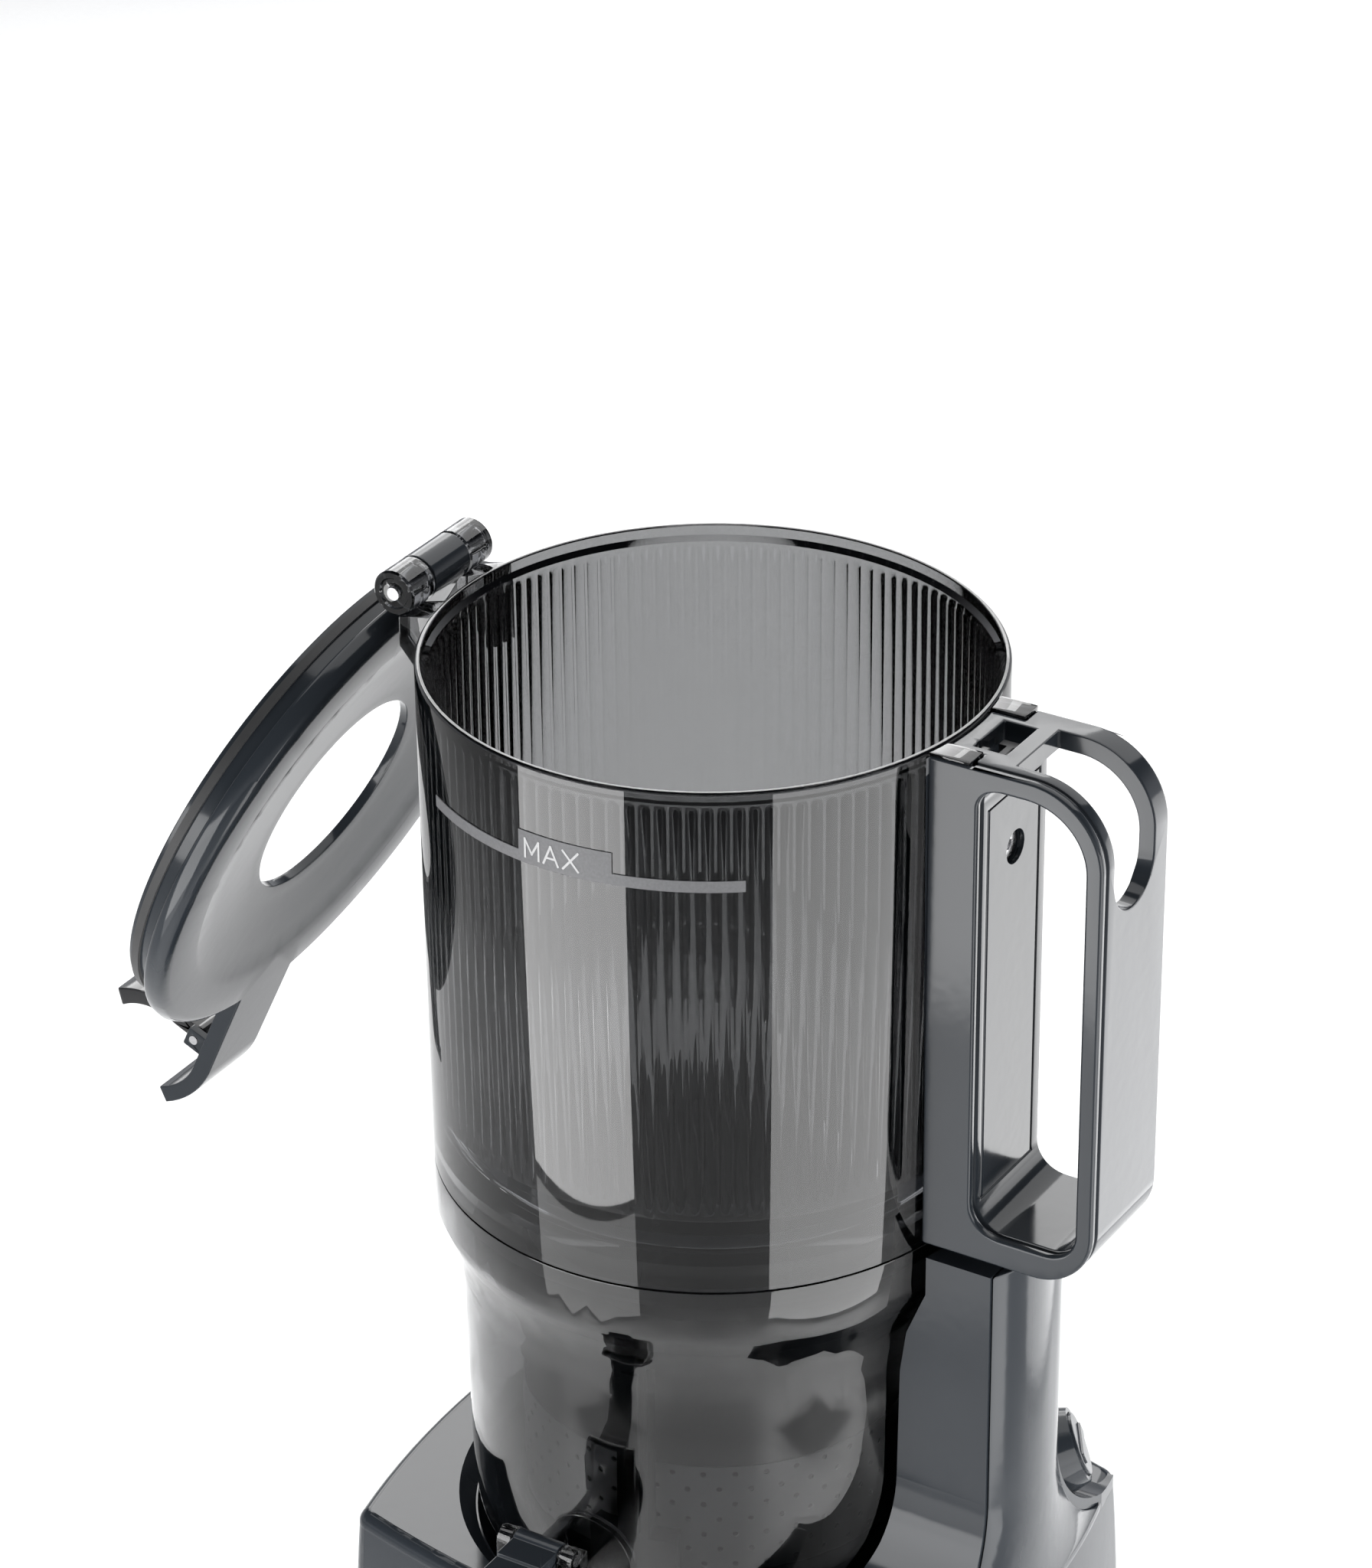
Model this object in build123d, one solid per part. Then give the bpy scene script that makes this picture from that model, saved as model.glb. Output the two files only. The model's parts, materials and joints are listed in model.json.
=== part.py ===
from build123d import *
import os
from math import acos, cos, degrees, pi, radians, sin, sqrt, tan

# Vertical slow juicer with a wide self-feeding hopper.
# Millimetres. +Z up. Origin on the hopper axis, at the level of the counter.
# +X runs to the handle and tower, -X to the lid hinge, -Y to the juice spout (front).

# ---- driving dimensions -------------------------------------------------
RIM_Z = 418.0              # top of the hopper rim above the counter
HOPPER_R = 72.5            # outside radius of the hopper at the rim
HOPPER_DRAFT = 0.8         # how much narrower the hopper is at its foot
HOPPER_H = 138.3           # rim to the seam with the bowl
CLEAR_WALL = 2.6           # wall of the clear mouldings
BOWL_R = HOPPER_R - 7.5    # outside radius of the bowl body
FLANGE_H = 13.0            # height of the bowl's top flange
DECK_Z = 172.0             # top of the base deck
DECK_EDGE_H = 4.0          # thickness of the deck at its edge
BASE_CX = 6.0              # middle of the base along X
BASE_HALF_L = HOPPER_R + 15.0   # half length of the base, along X
BASE_HALF_D = HOPPER_R - 2.0    # half depth of the base, along Y
BASE_SAG_SIDE = 6.5        # bulge of the left and right sides
BASE_SAG_FRONT = 11.2      # bulge of the front and back
BASE_CORNER = 5.0          # corner radius of the base in plan
CASE_WALL = 3.0            # wall of the base mouldings
HALF_FRONT = 19.0          # handle and tower reach this far to the front
HANDLE_BACK = 16.5         # handle reaches this far to the back
HANDLE_REACH = 44.2        # outer face of the handle, out from the hopper wall
HANDLE_H = 135.5           # height of the handle loop
COLUMN_T = 10.8            # hopper wall to the grip side of the handle's column
ARCH_T = 5.0               # thickness of the handle's arch
OUTER_T = 4.5              # thickness of the handle's outer leg
FOOT_T = 7.5               # thickness of the handle's lower bar
TOWER_GAP = 3.9            # handle foot to tower top
TOWER_REACH = 23.0         # outer face of the tower, out from the hopper wall
SHELL_DEPTH = 5.9          # outer face of the tower back to the joint of its shell
HINGE_OUT = 8.5            # lid hinge axis, out from the hopper wall
HINGE_UP = 3.0             # hinge axis above the rim
HINGE_R = 6.0              # hinge knuckle radius
HINGE_HALF = 18.0          # half length of the hinge
PIN_R = 1.7                # hinge pin radius
LID_OPEN = 245.6           # lid opening angle, from closed to its stop
LID_R = HOPPER_R - 0.2     # lid disc radius
LID_T = 6.3                # lid disc thickness
LID_HOLE_R = 29.5          # feed hole in the lid
AUGER_R = 43.0             # radius of the auger flight
STRAINER_R = BOWL_R - 15.0 # outside radius of the strainer
FIT = 0.3                  # clearance between pieces that move past each other
RUN = 0.06                 # radial running fit of pins and shafts
FOOT_H = 3.0               # rubber feet

# ---- places worked out from them ---------------------------------------
HANDLE_OUT_X = HOPPER_R + HANDLE_REACH
COLUMN_X = HOPPER_R + COLUMN_T
TOWER_X = HOPPER_R + TOWER_REACH
TOWER_SEAM_X = TOWER_X - SHELL_DEPTH
HINGE_X = -HOPPER_R - HINGE_OUT
SEAM_Z = RIM_Z - HOPPER_H
HANDLE_TOP = RIM_Z - 1.0
HANDLE_Z0 = HANDLE_TOP - HANDLE_H
TOWER_TOP = HANDLE_Z0 - TOWER_GAP
CASE_TOP = DECK_Z - DECK_EDGE_H
POCKET_Z = 128.0           # floor of the pocket that the bowl stands in
BOWL_FLOOR = 147.0         # underside of the bowl's floor
GEAR_Z = BOWL_FLOOR + CLEAR_WALL + 6.4
GEAR_H = 8.0
STRAINER_Z = GEAR_Z + GEAR_H + 1.6
FLANGE_Z = SEAM_Z - FLANGE_H
HINGE_Z = RIM_Z + HINGE_UP


def save(shape, node):
    export_step(shape, "parts/" + node + ".step")


def box(x0, x1, y0, y1, z0, z1):
    centre = ((x0 + x1) / 2, (y0 + y1) / 2, (z0 + z1) / 2)
    return Pos(*centre) * Box(x1 - x0, y1 - y0, z1 - z0)


def rod(r, z0, z1, x=0.0, y=0.0):
    return Pos(x, y, (z0 + z1) / 2) * Cylinder(r, z1 - z0)


def tube(r_out, r_in, z0, z1, x=0.0, y=0.0):
    return rod(r_out, z0, z1, x, y) - rod(r_in, z0 - 1, z1 + 1, x, y)


def rod_y(r, y0, y1, x, z):
    return Pos(x, (y0 + y1) / 2, z) * Rot(90, 0, 0) * Cylinder(r, y1 - y0)


def rod_x(r, x0, x1, y, z):
    return Pos((x0 + x1) / 2, y, z) * Rot(0, 90, 0) * Cylinder(r, x1 - x0)


def lathe(points):
    """A turned solid from its (radius, z) outline."""
    outline = Polyline(*[(r, 0, z) for r, z in points], close=True)
    return revolve(make_face(outline), Axis.Z)


def slab_y(points, y0, y1):
    """A plate from its (x, z) outline, between two y."""
    outline = Polyline(*[(x, y0, z) for x, z in points], close=True)
    return extrude(make_face(outline), amount=y1 - y0, dir=(0, 1, 0))


def wedge(az0, az1, r, z0, z1):
    """A sector of a disc between two azimuths, as a cutter."""
    steps = 6
    turn = [radians(az0 + (az1 - az0) * k / steps) for k in range(steps + 1)]
    rim = [(r * cos(t), r * sin(t), z0) for t in turn]
    face = make_face(Polyline((0, 0, z0), *rim, close=True))
    return extrude(face, amount=z1 - z0, dir=(0, 0, 1))


# ---- gears ---------------------------------------------------------------
PRESSURE = radians(20)


def gear_face(teeth, module, slack, growth=0.0):
    """Plan of an involute spur gear; a tooth is centred on +X."""
    pitch_r = teeth * module / 2
    base_r = pitch_r * cos(PRESSURE)
    tip_r = pitch_r + module + growth
    root_r = pitch_r - 1.25 * module + growth
    first_r = max(root_r, base_r)
    half = pi / (2 * teeth) - slack / (2 * pitch_r) + tan(PRESSURE) - PRESSURE
    flank = []
    for k in range(5):
        r = first_r + (tip_r - first_r) * k / 4
        roll = acos(min(1.0, base_r / r))
        flank.append((r, half - (tan(roll) - roll)))
    points = []
    for tooth in range(teeth):
        mid = 2 * pi * tooth / teeth
        side = [(root_r, flank[0][1])] + flank if root_r < first_r else flank
        for r, a in side:
            points.append((r * cos(mid - a), r * sin(mid - a)))
        for r, a in reversed(side):
            points.append((r * cos(mid + a), r * sin(mid + a)))
    return make_face(Polyline(*points, close=True))


def gear(teeth, module, z0, z1, turn=0.0, slack=0.16, growth=0.0):
    body = extrude(gear_face(teeth, module, slack, growth), amount=z1 - z0)
    return Pos(0, 0, z0) * Rot(0, 0, turn) * body


# ---- outline of the base ---------------------------------------------------
def base_plan(grow, z):
    """Plan of the base, pushed out by grow, at height z."""
    half_l = BASE_HALF_L + grow
    half_d = BASE_HALF_D + grow
    cx = half_l - BASE_SAG_SIDE
    cy = half_d - BASE_SAG_FRONT
    front = ThreePointArc((-cx, -cy), (0, -half_d), (cx, -cy))
    right = ThreePointArc((cx, -cy), (half_l, 0), (cx, cy))
    back = ThreePointArc((cx, cy), (0, half_d), (-cx, cy))
    left = ThreePointArc((-cx, cy), (-half_l, 0), (-cx, -cy))
    face = make_face([front, right, back, left])
    face = fillet(face.vertices(), max(BASE_CORNER + grow, 2.0))
    return Pos(BASE_CX, 0, z) * face


CASE_BELLY = 1.5           # how far the case bulges below its top edge
CASE_FOOT = 0.5            # how far it stays out at the foot


def case_body(inset, z0, z1):
    """The case's outside shape, pushed in by inset."""
    rise = z1 - z0
    levels = [(CASE_FOOT, 0.0), (CASE_BELLY, 0.45), (CASE_BELLY, 0.8), (0.0, 1.0)]
    plans = [base_plan(grow - inset, z0 + rise * share) for grow, share in levels]
    return loft(plans)


# ---- bowl outline, shared by the bowl and its pocket ----------------------
def bowl_side(grow):
    """Right half of the bowl's outside, foot to flange, pushed out by grow."""
    flange_r = HOPPER_R - HOPPER_DRAFT
    return [
        (BOWL_R - 24.5 + grow, POCKET_Z + 8),
        (BOWL_R - 14.0 + grow, BOWL_FLOOR),
        (BOWL_R - 9.4 + grow, BOWL_FLOOR + 7),
        (BOWL_R - 4.6 + grow, BOWL_FLOOR + 18),
        (BOWL_R - 1.9 + grow, BOWL_FLOOR + 29),
        (BOWL_R - 0.8 + grow, BOWL_FLOOR + 44),
        (BOWL_R + grow, FLANGE_Z - 25),
        (BOWL_R + 1.6 + grow, FLANGE_Z - 13),
        (flange_r - 1.6 + grow, FLANGE_Z - 4),
        (flange_r + grow, FLANGE_Z),
    ]


# ---- base: case, deck and tower ----------------------------------------
PANEL_MARGIN = 19.5
PANEL_X0 = BASE_CX - BASE_HALF_L + PANEL_MARGIN
PANEL_X1 = BASE_CX + BASE_HALF_L - PANEL_MARGIN
PANEL_Z0 = 34.0
PANEL_Z1 = CASE_TOP - 11.0
PANEL_T = 1.8
PANEL_SINK = 0.8
BUTTON_R = 9.0
BUTTON_Z = 110.0
START_X = BASE_CX - 15.0
REVERSE_X = BASE_CX + 15.0
BUTTON_TRAVEL = 1.5
INLET_X = -45.0
INLET_Z = 40.0
INLET_W = 30.0
INLET_H = 22.0
VENT_COUNT = 9
VENT_PITCH = 8.0
VENT_W = 4.0
FOOT_X = BASE_HALF_L - 17.5
FOOT_Y = BASE_HALF_D - 24.5
FOOT_R = 10.0
COVER_T = 3.0


def rounded_window(grow, y0, y1):
    """The panel's outline with round corners, as a block along Y."""
    wide = PANEL_X1 - PANEL_X0 + 2 * grow
    tall = PANEL_Z1 - PANEL_Z0 + 2 * grow
    face = RectangleRounded(wide, tall, 6.0 + grow)
    centre = ((PANEL_X0 + PANEL_X1) / 2, y1, (PANEL_Z0 + PANEL_Z1) / 2)
    return extrude(Pos(*centre) * Rot(90, 0, 0) * face, amount=y1 - y0)


def lower_case():
    z0 = FOOT_H - 0.5
    body = case_body(0, z0, CASE_TOP)
    body -= case_body(CASE_WALL, z0, CASE_TOP)
    outer_skin = case_body(0, z0, CASE_TOP) - case_body(PANEL_SINK + PANEL_T, z0, CASE_TOP)
    body -= outer_skin & rounded_window(0.25, -BASE_HALF_L, -40)
    for x in (START_X, REVERSE_X):
        body -= rod_y(BUTTON_R + FIT, -BASE_HALF_L, -40, x, BUTTON_Z)
    back = BASE_HALF_D + CASE_BELLY
    body -= box(INLET_X - INLET_W / 2, INLET_X + INLET_W / 2, back - 14, back + 5,
                INLET_Z - INLET_H / 2, INLET_Z + INLET_H / 2)
    for k in range(VENT_COUNT):
        x = BASE_CX + 14 + (k - VENT_COUNT // 2) * VENT_PITCH
        body -= box(x - VENT_W / 2, x + VENT_W / 2, 45, back + 5, 30, 70)
    return body


def control_panel():
    z0 = FOOT_H - 0.5
    plate = case_body(PANEL_SINK, z0, CASE_TOP) - case_body(PANEL_SINK + PANEL_T, z0, CASE_TOP)
    plate &= rounded_window(0, -BASE_HALF_L, -40)
    for x in (START_X, REVERSE_X):
        plate -= rod_y(BUTTON_R + FIT, -BASE_HALF_L, -40, x, BUTTON_Z)
    return plate


def push_button(x):
    """A round button with a stem that reaches the board."""
    front = -BASE_HALF_D - CASE_BELLY - 0.6
    cap = rod_y(BUTTON_R, front, front + 1.6, x, BUTTON_Z)
    cap = fillet(cap.edges().filter_by(GeomType.CIRCLE).sort_by(Axis.Y)[0], 0.7)
    return cap + rod_y(BUTTON_R - 2.4, front + 1.6, front + 15, x, BUTTON_Z)


def circuit_board():
    y = -BASE_HALF_D - CASE_BELLY + 17.0
    board = box(START_X - 20, REVERSE_X + 20, y, y + 1.6, BUTTON_Z - 16, BUTTON_Z + 16)
    for x in (START_X, REVERSE_X):
        board += box(x - 3, x + 3, y - 0.6, y, BUTTON_Z - 3, BUTTON_Z + 3)
    return board


def bottom_cover():
    plate = extrude(base_plan(CASE_FOOT - CASE_WALL - FIT, FOOT_H), amount=COVER_T)
    for sx in (-1, 1):
        for sy in (-1, 1):
            plate -= rod(2.2, 0, 20, BASE_CX + sx * (FOOT_X - 14), sy * (FOOT_Y + 2))
    return plate


def at_corners(piece):
    """Four copies of a piece, one near each corner of the base."""
    return Compound([Pos(BASE_CX + sx * FOOT_X, sy * FOOT_Y, 0) * piece
                     for sx in (-1, 1) for sy in (-1, 1)])


def cover_screws():
    screw = rod(3.6, FOOT_H - 1.8, FOOT_H) + rod(1.8, FOOT_H, FOOT_H + 9)
    return Compound([Pos(BASE_CX + sx * (FOOT_X - 14), sy * (FOOT_Y + 2), 0) * screw
                     for sx in (-1, 1) for sy in (-1, 1)])


def feet():
    """Four corner feet and one pad under the motor."""
    foot = rod(FOOT_R, 0, FOOT_H)
    foot = chamfer(foot.edges().group_by(Axis.Z)[0], 0.8)
    return Compound(list(at_corners(foot)) + [foot])


def power_inlet():
    """Three-pin appliance inlet in the back of the case."""
    back = BASE_HALF_D + CASE_BELLY
    w = INLET_W / 2 - 0.2
    h = INLET_H / 2 - 0.2
    body = box(INLET_X - w, INLET_X + w, back - 14, back - 3.5, INLET_Z - h, INLET_Z + h)
    body -= box(INLET_X - w + 3, INLET_X + w - 3, back - 12, back, INLET_Z - h + 3, INLET_Z + h - 3)
    for dx in (-7, 0, 7):
        body += box(INLET_X + dx - 1, INLET_X + dx + 1, back - 13, back - 8.5, INLET_Z - 2, INLET_Z + 2)
    return body


POCKET_GAP = 2.4           # bowl to the pocket and tower all round
FLARE_R = 38.0             # sweep where the tower meets the deck


def tower_profile():
    """Front-to-back outline of the tower with its swept foot, as a long block."""
    z0 = CASE_TOP
    top = TOWER_TOP
    y = HALF_FRONT
    lift = DECK_Z - 0.5
    bend = sqrt(0.5) * FLARE_R
    edges = [
        Line((0, -y - FLARE_R, z0), (0, -y - FLARE_R, lift)),
        ThreePointArc((0, -y - FLARE_R, lift),
                      (0, -y - FLARE_R + bend, lift + FLARE_R - bend),
                      (0, -y, lift + FLARE_R)),
        Line((0, -y, lift + FLARE_R), (0, -y, top)),
        Line((0, -y, top), (0, y, top)),
        Line((0, y, top), (0, y, lift + FLARE_R)),
        ThreePointArc((0, y, lift + FLARE_R),
                      (0, y + FLARE_R - bend, lift + FLARE_R - bend),
                      (0, y + FLARE_R, lift)),
        Line((0, y + FLARE_R, lift), (0, y + FLARE_R, z0)),
        Line((0, y + FLARE_R, z0), (0, -y - FLARE_R, z0)),
    ]
    return extrude(Pos(30, 0, 0) * make_face(edges), amount=TOWER_SEAM_X - 30, dir=(1, 0, 0))


SHELL_T = 2.6              # wall of the tower's outer shell
SHELL_TUCK = 3.0           # how far the shell's foot follows the base's corners in
FLARE_STEPS = 8


def skirt_plan(spread, inset, z):
    """Plan of the rounded outer side of the tower, spread towards its foot."""
    half = HALF_FRONT + spread - inset
    seam_x = TOWER_SEAM_X - SHELL_TUCK * spread / FLARE_R
    face = make_face([
        Line((30, -half), (seam_x, -half)),
        ThreePointArc((seam_x, -half), (TOWER_X - inset, 0), (seam_x, half)),
        Line((seam_x, half), (30, half)),
        Line((30, half), (30, -half)),
    ])
    return Pos(0, 0, z) * face


def skirt(inset, z0, z1):
    """The tower's outer side: upright above, sweeping out to the base's edge below."""
    lift = DECK_Z - 0.5
    turns = [pi / 2 * k / FLARE_STEPS for k in range(FLARE_STEPS + 1)]
    plans = [skirt_plan(FLARE_R * (1 - sin(t)), inset, lift + FLARE_R * (1 - cos(t))) for t in turns]
    body = loft(plans)
    body += extrude(skirt_plan(0, inset, lift + FLARE_R), amount=z1 - lift - FLARE_R)
    return body + extrude(skirt_plan(FLARE_R, inset, z0), amount=lift - z0)


def bowl_room(gap):
    """The space that the bowl and hopper need, with a gap all round."""
    flange_r = HOPPER_R - HOPPER_DRAFT + gap
    points = [(0, POCKET_Z)] + bowl_side(gap)
    points[1] = (BOWL_R - 24.5 + gap, POCKET_Z)
    points += [(flange_r, RIM_Z + 50), (0, RIM_Z + 50)]
    return lathe(points)


def tower_column():
    """Tower column and swept foot, before it is hollowed."""
    return tower_profile() & extrude(base_plan(0.0, CASE_TOP), amount=TOWER_TOP - CASE_TOP)


SWITCH_X = HOPPER_R + 6.5
SWITCH_Y = -6.5
PLUNGER_R = 2.0
PLUNGER_PROUD = 0.8
DIAL_R = 8.5
DIAL_T = 2.8
DIAL_SINK = 2.0
DIAL_AXIS = (0.80, 0.50, 0.36)
DIAL_X = BASE_CX + BASE_HALF_L - 10.3
DIAL_Y = BASE_HALF_D - 26.0
DIAL_Z = DECK_Z + 15.5
SHOULDER_H = 24.0


def dial_frame():
    """Plane of the mode dial, on the tower foot's rear shoulder."""
    return Plane(origin=(DIAL_X, DIAL_Y, DIAL_Z), z_dir=DIAL_AXIS)


def top_cover():
    """Deck, bowl pocket and tower column in one moulding."""
    deck = extrude(base_plan(0.0, CASE_TOP), amount=DECK_EDGE_H)
    top_edge = deck.edges().group_by(Axis.Z)[-1]
    deck = fillet(top_edge, DECK_EDGE_H - 0.6)
    foot_r = BOWL_R - 24.5
    cup = lathe([(0, POCKET_Z - 3), (foot_r + 6, POCKET_Z - 3), (BOWL_R - 8, BOWL_FLOOR),
                 (BOWL_R + 2, BOWL_FLOOR + 18), (BOWL_R + 3.4, CASE_TOP), (0, CASE_TOP)])
    cup &= extrude(base_plan(-CASE_WALL - FIT, POCKET_Z - 10), amount=CASE_TOP - POCKET_Z + 10)
    shoulder = dial_frame().location * Pos(0, 0, -SHOULDER_H / 2) * Cone(DIAL_R + 9, DIAL_R + 1.6, SHOULDER_H)
    shoulder &= extrude(base_plan(-0.6, CASE_TOP), amount=60)
    body = deck + cup + tower_column() + shoulder
    shell_room = skirt(-FIT, CASE_TOP + 0.6, TOWER_TOP + 1)
    body -= shell_room & box(TOWER_SEAM_X, 2 * TOWER_X, -BASE_HALF_L, BASE_HALF_L, CASE_TOP, TOWER_TOP + 1)
    body -= bowl_room(POCKET_GAP)
    body -= lathe([(0, DECK_Z - 4), (BOWL_R - 1, DECK_Z - 4), (BOWL_R + 3.4, DECK_Z + 0.1), (0, DECK_Z + 0.1)])
    body -= rod(9.0, POCKET_Z - 10, POCKET_Z + 1)
    inner_x = TOWER_SEAM_X - CASE_WALL
    well = box(HOPPER_R + 2.5, inner_x, -HALF_FRONT + CASE_WALL, HALF_FRONT - CASE_WALL,
               CASE_TOP - 1, TOWER_TOP - CASE_WALL)
    body -= well & (box(0, 200, -100, 100, 0, 400) - rod(HOPPER_R + 4.4, 0, 400))
    body -= rod(PLUNGER_R + RUN, TOWER_TOP - 10, TOWER_TOP + 1, SWITCH_X, SWITCH_Y)
    body -= dial_frame().location * Pos(0, 0, 2.5 - DIAL_SINK - FIT) * Cylinder(DIAL_R + FIT, 5)
    body -= dial_frame().location * Cylinder(2.0 + RUN, 30)
    return body


def tower_shell():
    """Curved outer shell that clips onto the tower column."""
    z0 = CASE_TOP + 0.9
    body = skirt(0, z0, TOWER_TOP) - skirt(SHELL_T, z0 - 1, TOWER_TOP - SHELL_T)
    body &= box(TOWER_SEAM_X + FIT, 2 * TOWER_X, -BASE_HALF_L, BASE_HALF_L, z0, TOWER_TOP)
    return body & extrude(base_plan(2.0, z0), amount=TOWER_TOP - z0)


def mode_dial():
    """Round dial, with a grip bar across its face."""
    frame = dial_frame().location
    disc = frame * Pos(0, 0, DIAL_T / 2 - DIAL_SINK) * Cylinder(DIAL_R, DIAL_T)
    bar = frame * Pos(0, 0, DIAL_T - DIAL_SINK + 0.3) * Box(DIAL_R * 1.7, 3.2, 0.6)
    stem = frame * Pos(0, 0, -DIAL_SINK - 2.5) * Cylinder(2.0, 5)
    return disc + (bar & (frame * Cylinder(DIAL_R, 12))) + stem


def interlock_switch():
    """Microswitch under the tower top."""
    z1 = TOWER_TOP - 12.0
    body = box(SWITCH_X - 1.7, SWITCH_X + 6.5, SWITCH_Y - 5.5, SWITCH_Y + 10, z1 - 15, z1)
    body -= rod(PLUNGER_R - 0.7, z1 - 6, z1 + 1, SWITCH_X, SWITCH_Y)
    return body


def switch_plunger():
    top = TOWER_TOP + PLUNGER_PROUD
    head = rod(PLUNGER_R, TOWER_TOP - 9.0, top, SWITCH_X, SWITCH_Y)
    return head + rod(PLUNGER_R - 1.0, TOWER_TOP - 14.5, TOWER_TOP - 9.0, SWITCH_X, SWITCH_Y)


# ---- drive -----------------------------------------------------------------
MOTOR_Z0 = 12.0
MOTOR_Z1 = 88.0
MOTOR_R = 42.0
ROTOR_R = 17.0
SHAFT_R = 4.0
GEAR_BOX_Z0 = 90.0
GEAR_BOX_Z1 = 119.0
LAY_X = 32.0
MOTOR_TEETH = 12
LAY_BIG_TEETH = 52
LAY_SMALL_TEETH = 16
OUT_TEETH = 48
DRIVE_MODULE = 1.0
STAGE1_Z = 95.0
STAGE1_H = 7.5
STAGE2_Z = 104.5
STAGE2_H = 9.0
DRIVE_R = 5.0
HEX_ACROSS = 9.6
DRIVE_TOP = BOWL_FLOOR + 4.0


def motor_can():
    body = rod(MOTOR_R, MOTOR_Z0, MOTOR_Z1) - rod(MOTOR_R - 2.0, MOTOR_Z0 + 2, MOTOR_Z1 - 2)
    body -= rod(SHAFT_R + 2.4, MOTOR_Z0 - 1, MOTOR_Z1 + 1)
    return body


def motor_stator():
    """Wound ring of the motor, between the can and the rotor."""
    ring = tube(MOTOR_R - 2.2, ROTOR_R + 1.0, 34, 70)
    for k in range(12):
        ring -= Rot(0, 0, 30 * k) * rod(3.6, 30, 75, 30.0, 0)
    return ring


def motor_bearings():
    low = tube(SHAFT_R + 2.3, SHAFT_R + RUN, MOTOR_Z0, MOTOR_Z0 + 5)
    high = tube(SHAFT_R + 2.3, SHAFT_R + RUN, MOTOR_Z1 - 5, MOTOR_Z1)
    return Compound([low, high])


def motor_rotor():
    body = rod(ROTOR_R, 36, 68) + rod(SHAFT_R, MOTOR_Z0 + 0.5, STAGE1_Z)
    return body + gear(MOTOR_TEETH, DRIVE_MODULE, STAGE1_Z, STAGE1_Z + STAGE1_H)


def motor_mount():
    return tube(MOTOR_R - 4, MOTOR_R - 16, FOOT_H + COVER_T, MOTOR_Z0)


def gear_case():
    x0, x1, y = -30.0, LAY_X + 32.0, 33.0
    z0, z1 = GEAR_BOX_Z0, GEAR_BOX_Z1 - 3
    body = box(x0, x1, -y, y, z0, z1) - box(x0 + 2.5, x1 - 2.5, 2.5 - y, y - 2.5, z0 + 3, z1 + 1)
    body = fillet(body.edges().filter_by(Axis.Z).group_by(Axis.X)[0], 1.5)
    body -= rod(SHAFT_R + 1.0, z0 - 1, z0 + 4)
    body += rod(5.0, z0, STAGE1_Z - FIT, LAY_X, 0)
    body -= rod(3.0, z0 + 1, z1, LAY_X, 0)
    body -= box(-29, -25, -40, 40, z0 - 1, z0)
    return body


def gear_case_lid():
    x0, x1, y = -30.0, LAY_X + 32.0, 33.0
    plate = box(x0, x1, -y, y, GEAR_BOX_Z1 - 3, GEAR_BOX_Z1)
    plate -= rod(DRIVE_R + 2.5, GEAR_BOX_Z1 - 5, GEAR_BOX_Z1 + 1)
    return plate - rod(3.0, GEAR_BOX_Z1 - 5, GEAR_BOX_Z1 - 1, LAY_X, 0)


def layshaft_axle():
    return rod(3.0, GEAR_BOX_Z0 + 1, GEAR_BOX_Z1 - 1, LAY_X, 0)


def layshaft_gear():
    big = gear(LAY_BIG_TEETH, DRIVE_MODULE, STAGE1_Z, STAGE1_Z + STAGE1_H, 180 - 180 / LAY_BIG_TEETH)
    small = gear(LAY_SMALL_TEETH, DRIVE_MODULE, STAGE1_Z + STAGE1_H, STAGE2_Z + STAGE2_H, 180)
    return Pos(LAY_X, 0, 0) * (big + small - rod(3.0 + RUN, STAGE1_Z - 1, STAGE2_Z + STAGE2_H + 1))


def drive_shaft():
    """Output gear with the hexagonal shaft that turns the auger."""
    wheel = gear(OUT_TEETH, DRIVE_MODULE, STAGE2_Z, STAGE2_Z + STAGE2_H, -180 / OUT_TEETH)
    shaft = rod(DRIVE_R, STAGE2_Z, POCKET_Z + 4)
    hexagon = extrude(RegularPolygon(HEX_ACROSS / 2, 6, major_radius=False), amount=DRIVE_TOP - POCKET_Z - 4)
    return wheel + shaft + Pos(0, 0, POCKET_Z + 4) * chamfer(hexagon.edges().group_by(Axis.Z)[-1], 1.0)


def drive_bush():
    return tube(DRIVE_R + 2.5, DRIVE_R + RUN, GEAR_BOX_Z1 - 3, GEAR_BOX_Z1 + 2)


def drive_seal():
    """Lip seal where the shaft comes up through the pocket floor."""
    body = tube(9.0, DRIVE_R + 0.4, POCKET_Z - 3, POCKET_Z)
    return body + tube(DRIVE_R + 3, DRIVE_R + 0.4, POCKET_Z, POCKET_Z + 2)


# ---- bowl ------------------------------------------------------------------
SPOUT_R = 12.0
SPOUT_WALL = 2.2
SPOUT_Z = DECK_Z + 17.0
SPOUT_Y = -BOWL_R - 27.0
CAP_PIN_Y = SPOUT_Y + 6.0
CAP_PIN_Z = SPOUT_Z + SPOUT_R + 4.6
CAP_PIN_R = 1.6
PULP_R = 14.0
PULP_Y = BOWL_R + 23.0
PULP_Z = DECK_Z + 17.5
IDLER_TEETH = 24
WIPER_TEETH = 60
AUGER_TEETH = 12
WIPER_MODULE = 1.5
IDLER_C = (AUGER_TEETH + IDLER_TEETH) * WIPER_MODULE / 2
IDLER_PIN_R = 2.5
HUB_R = 12.0
HUB_BORE = 9.0


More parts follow.
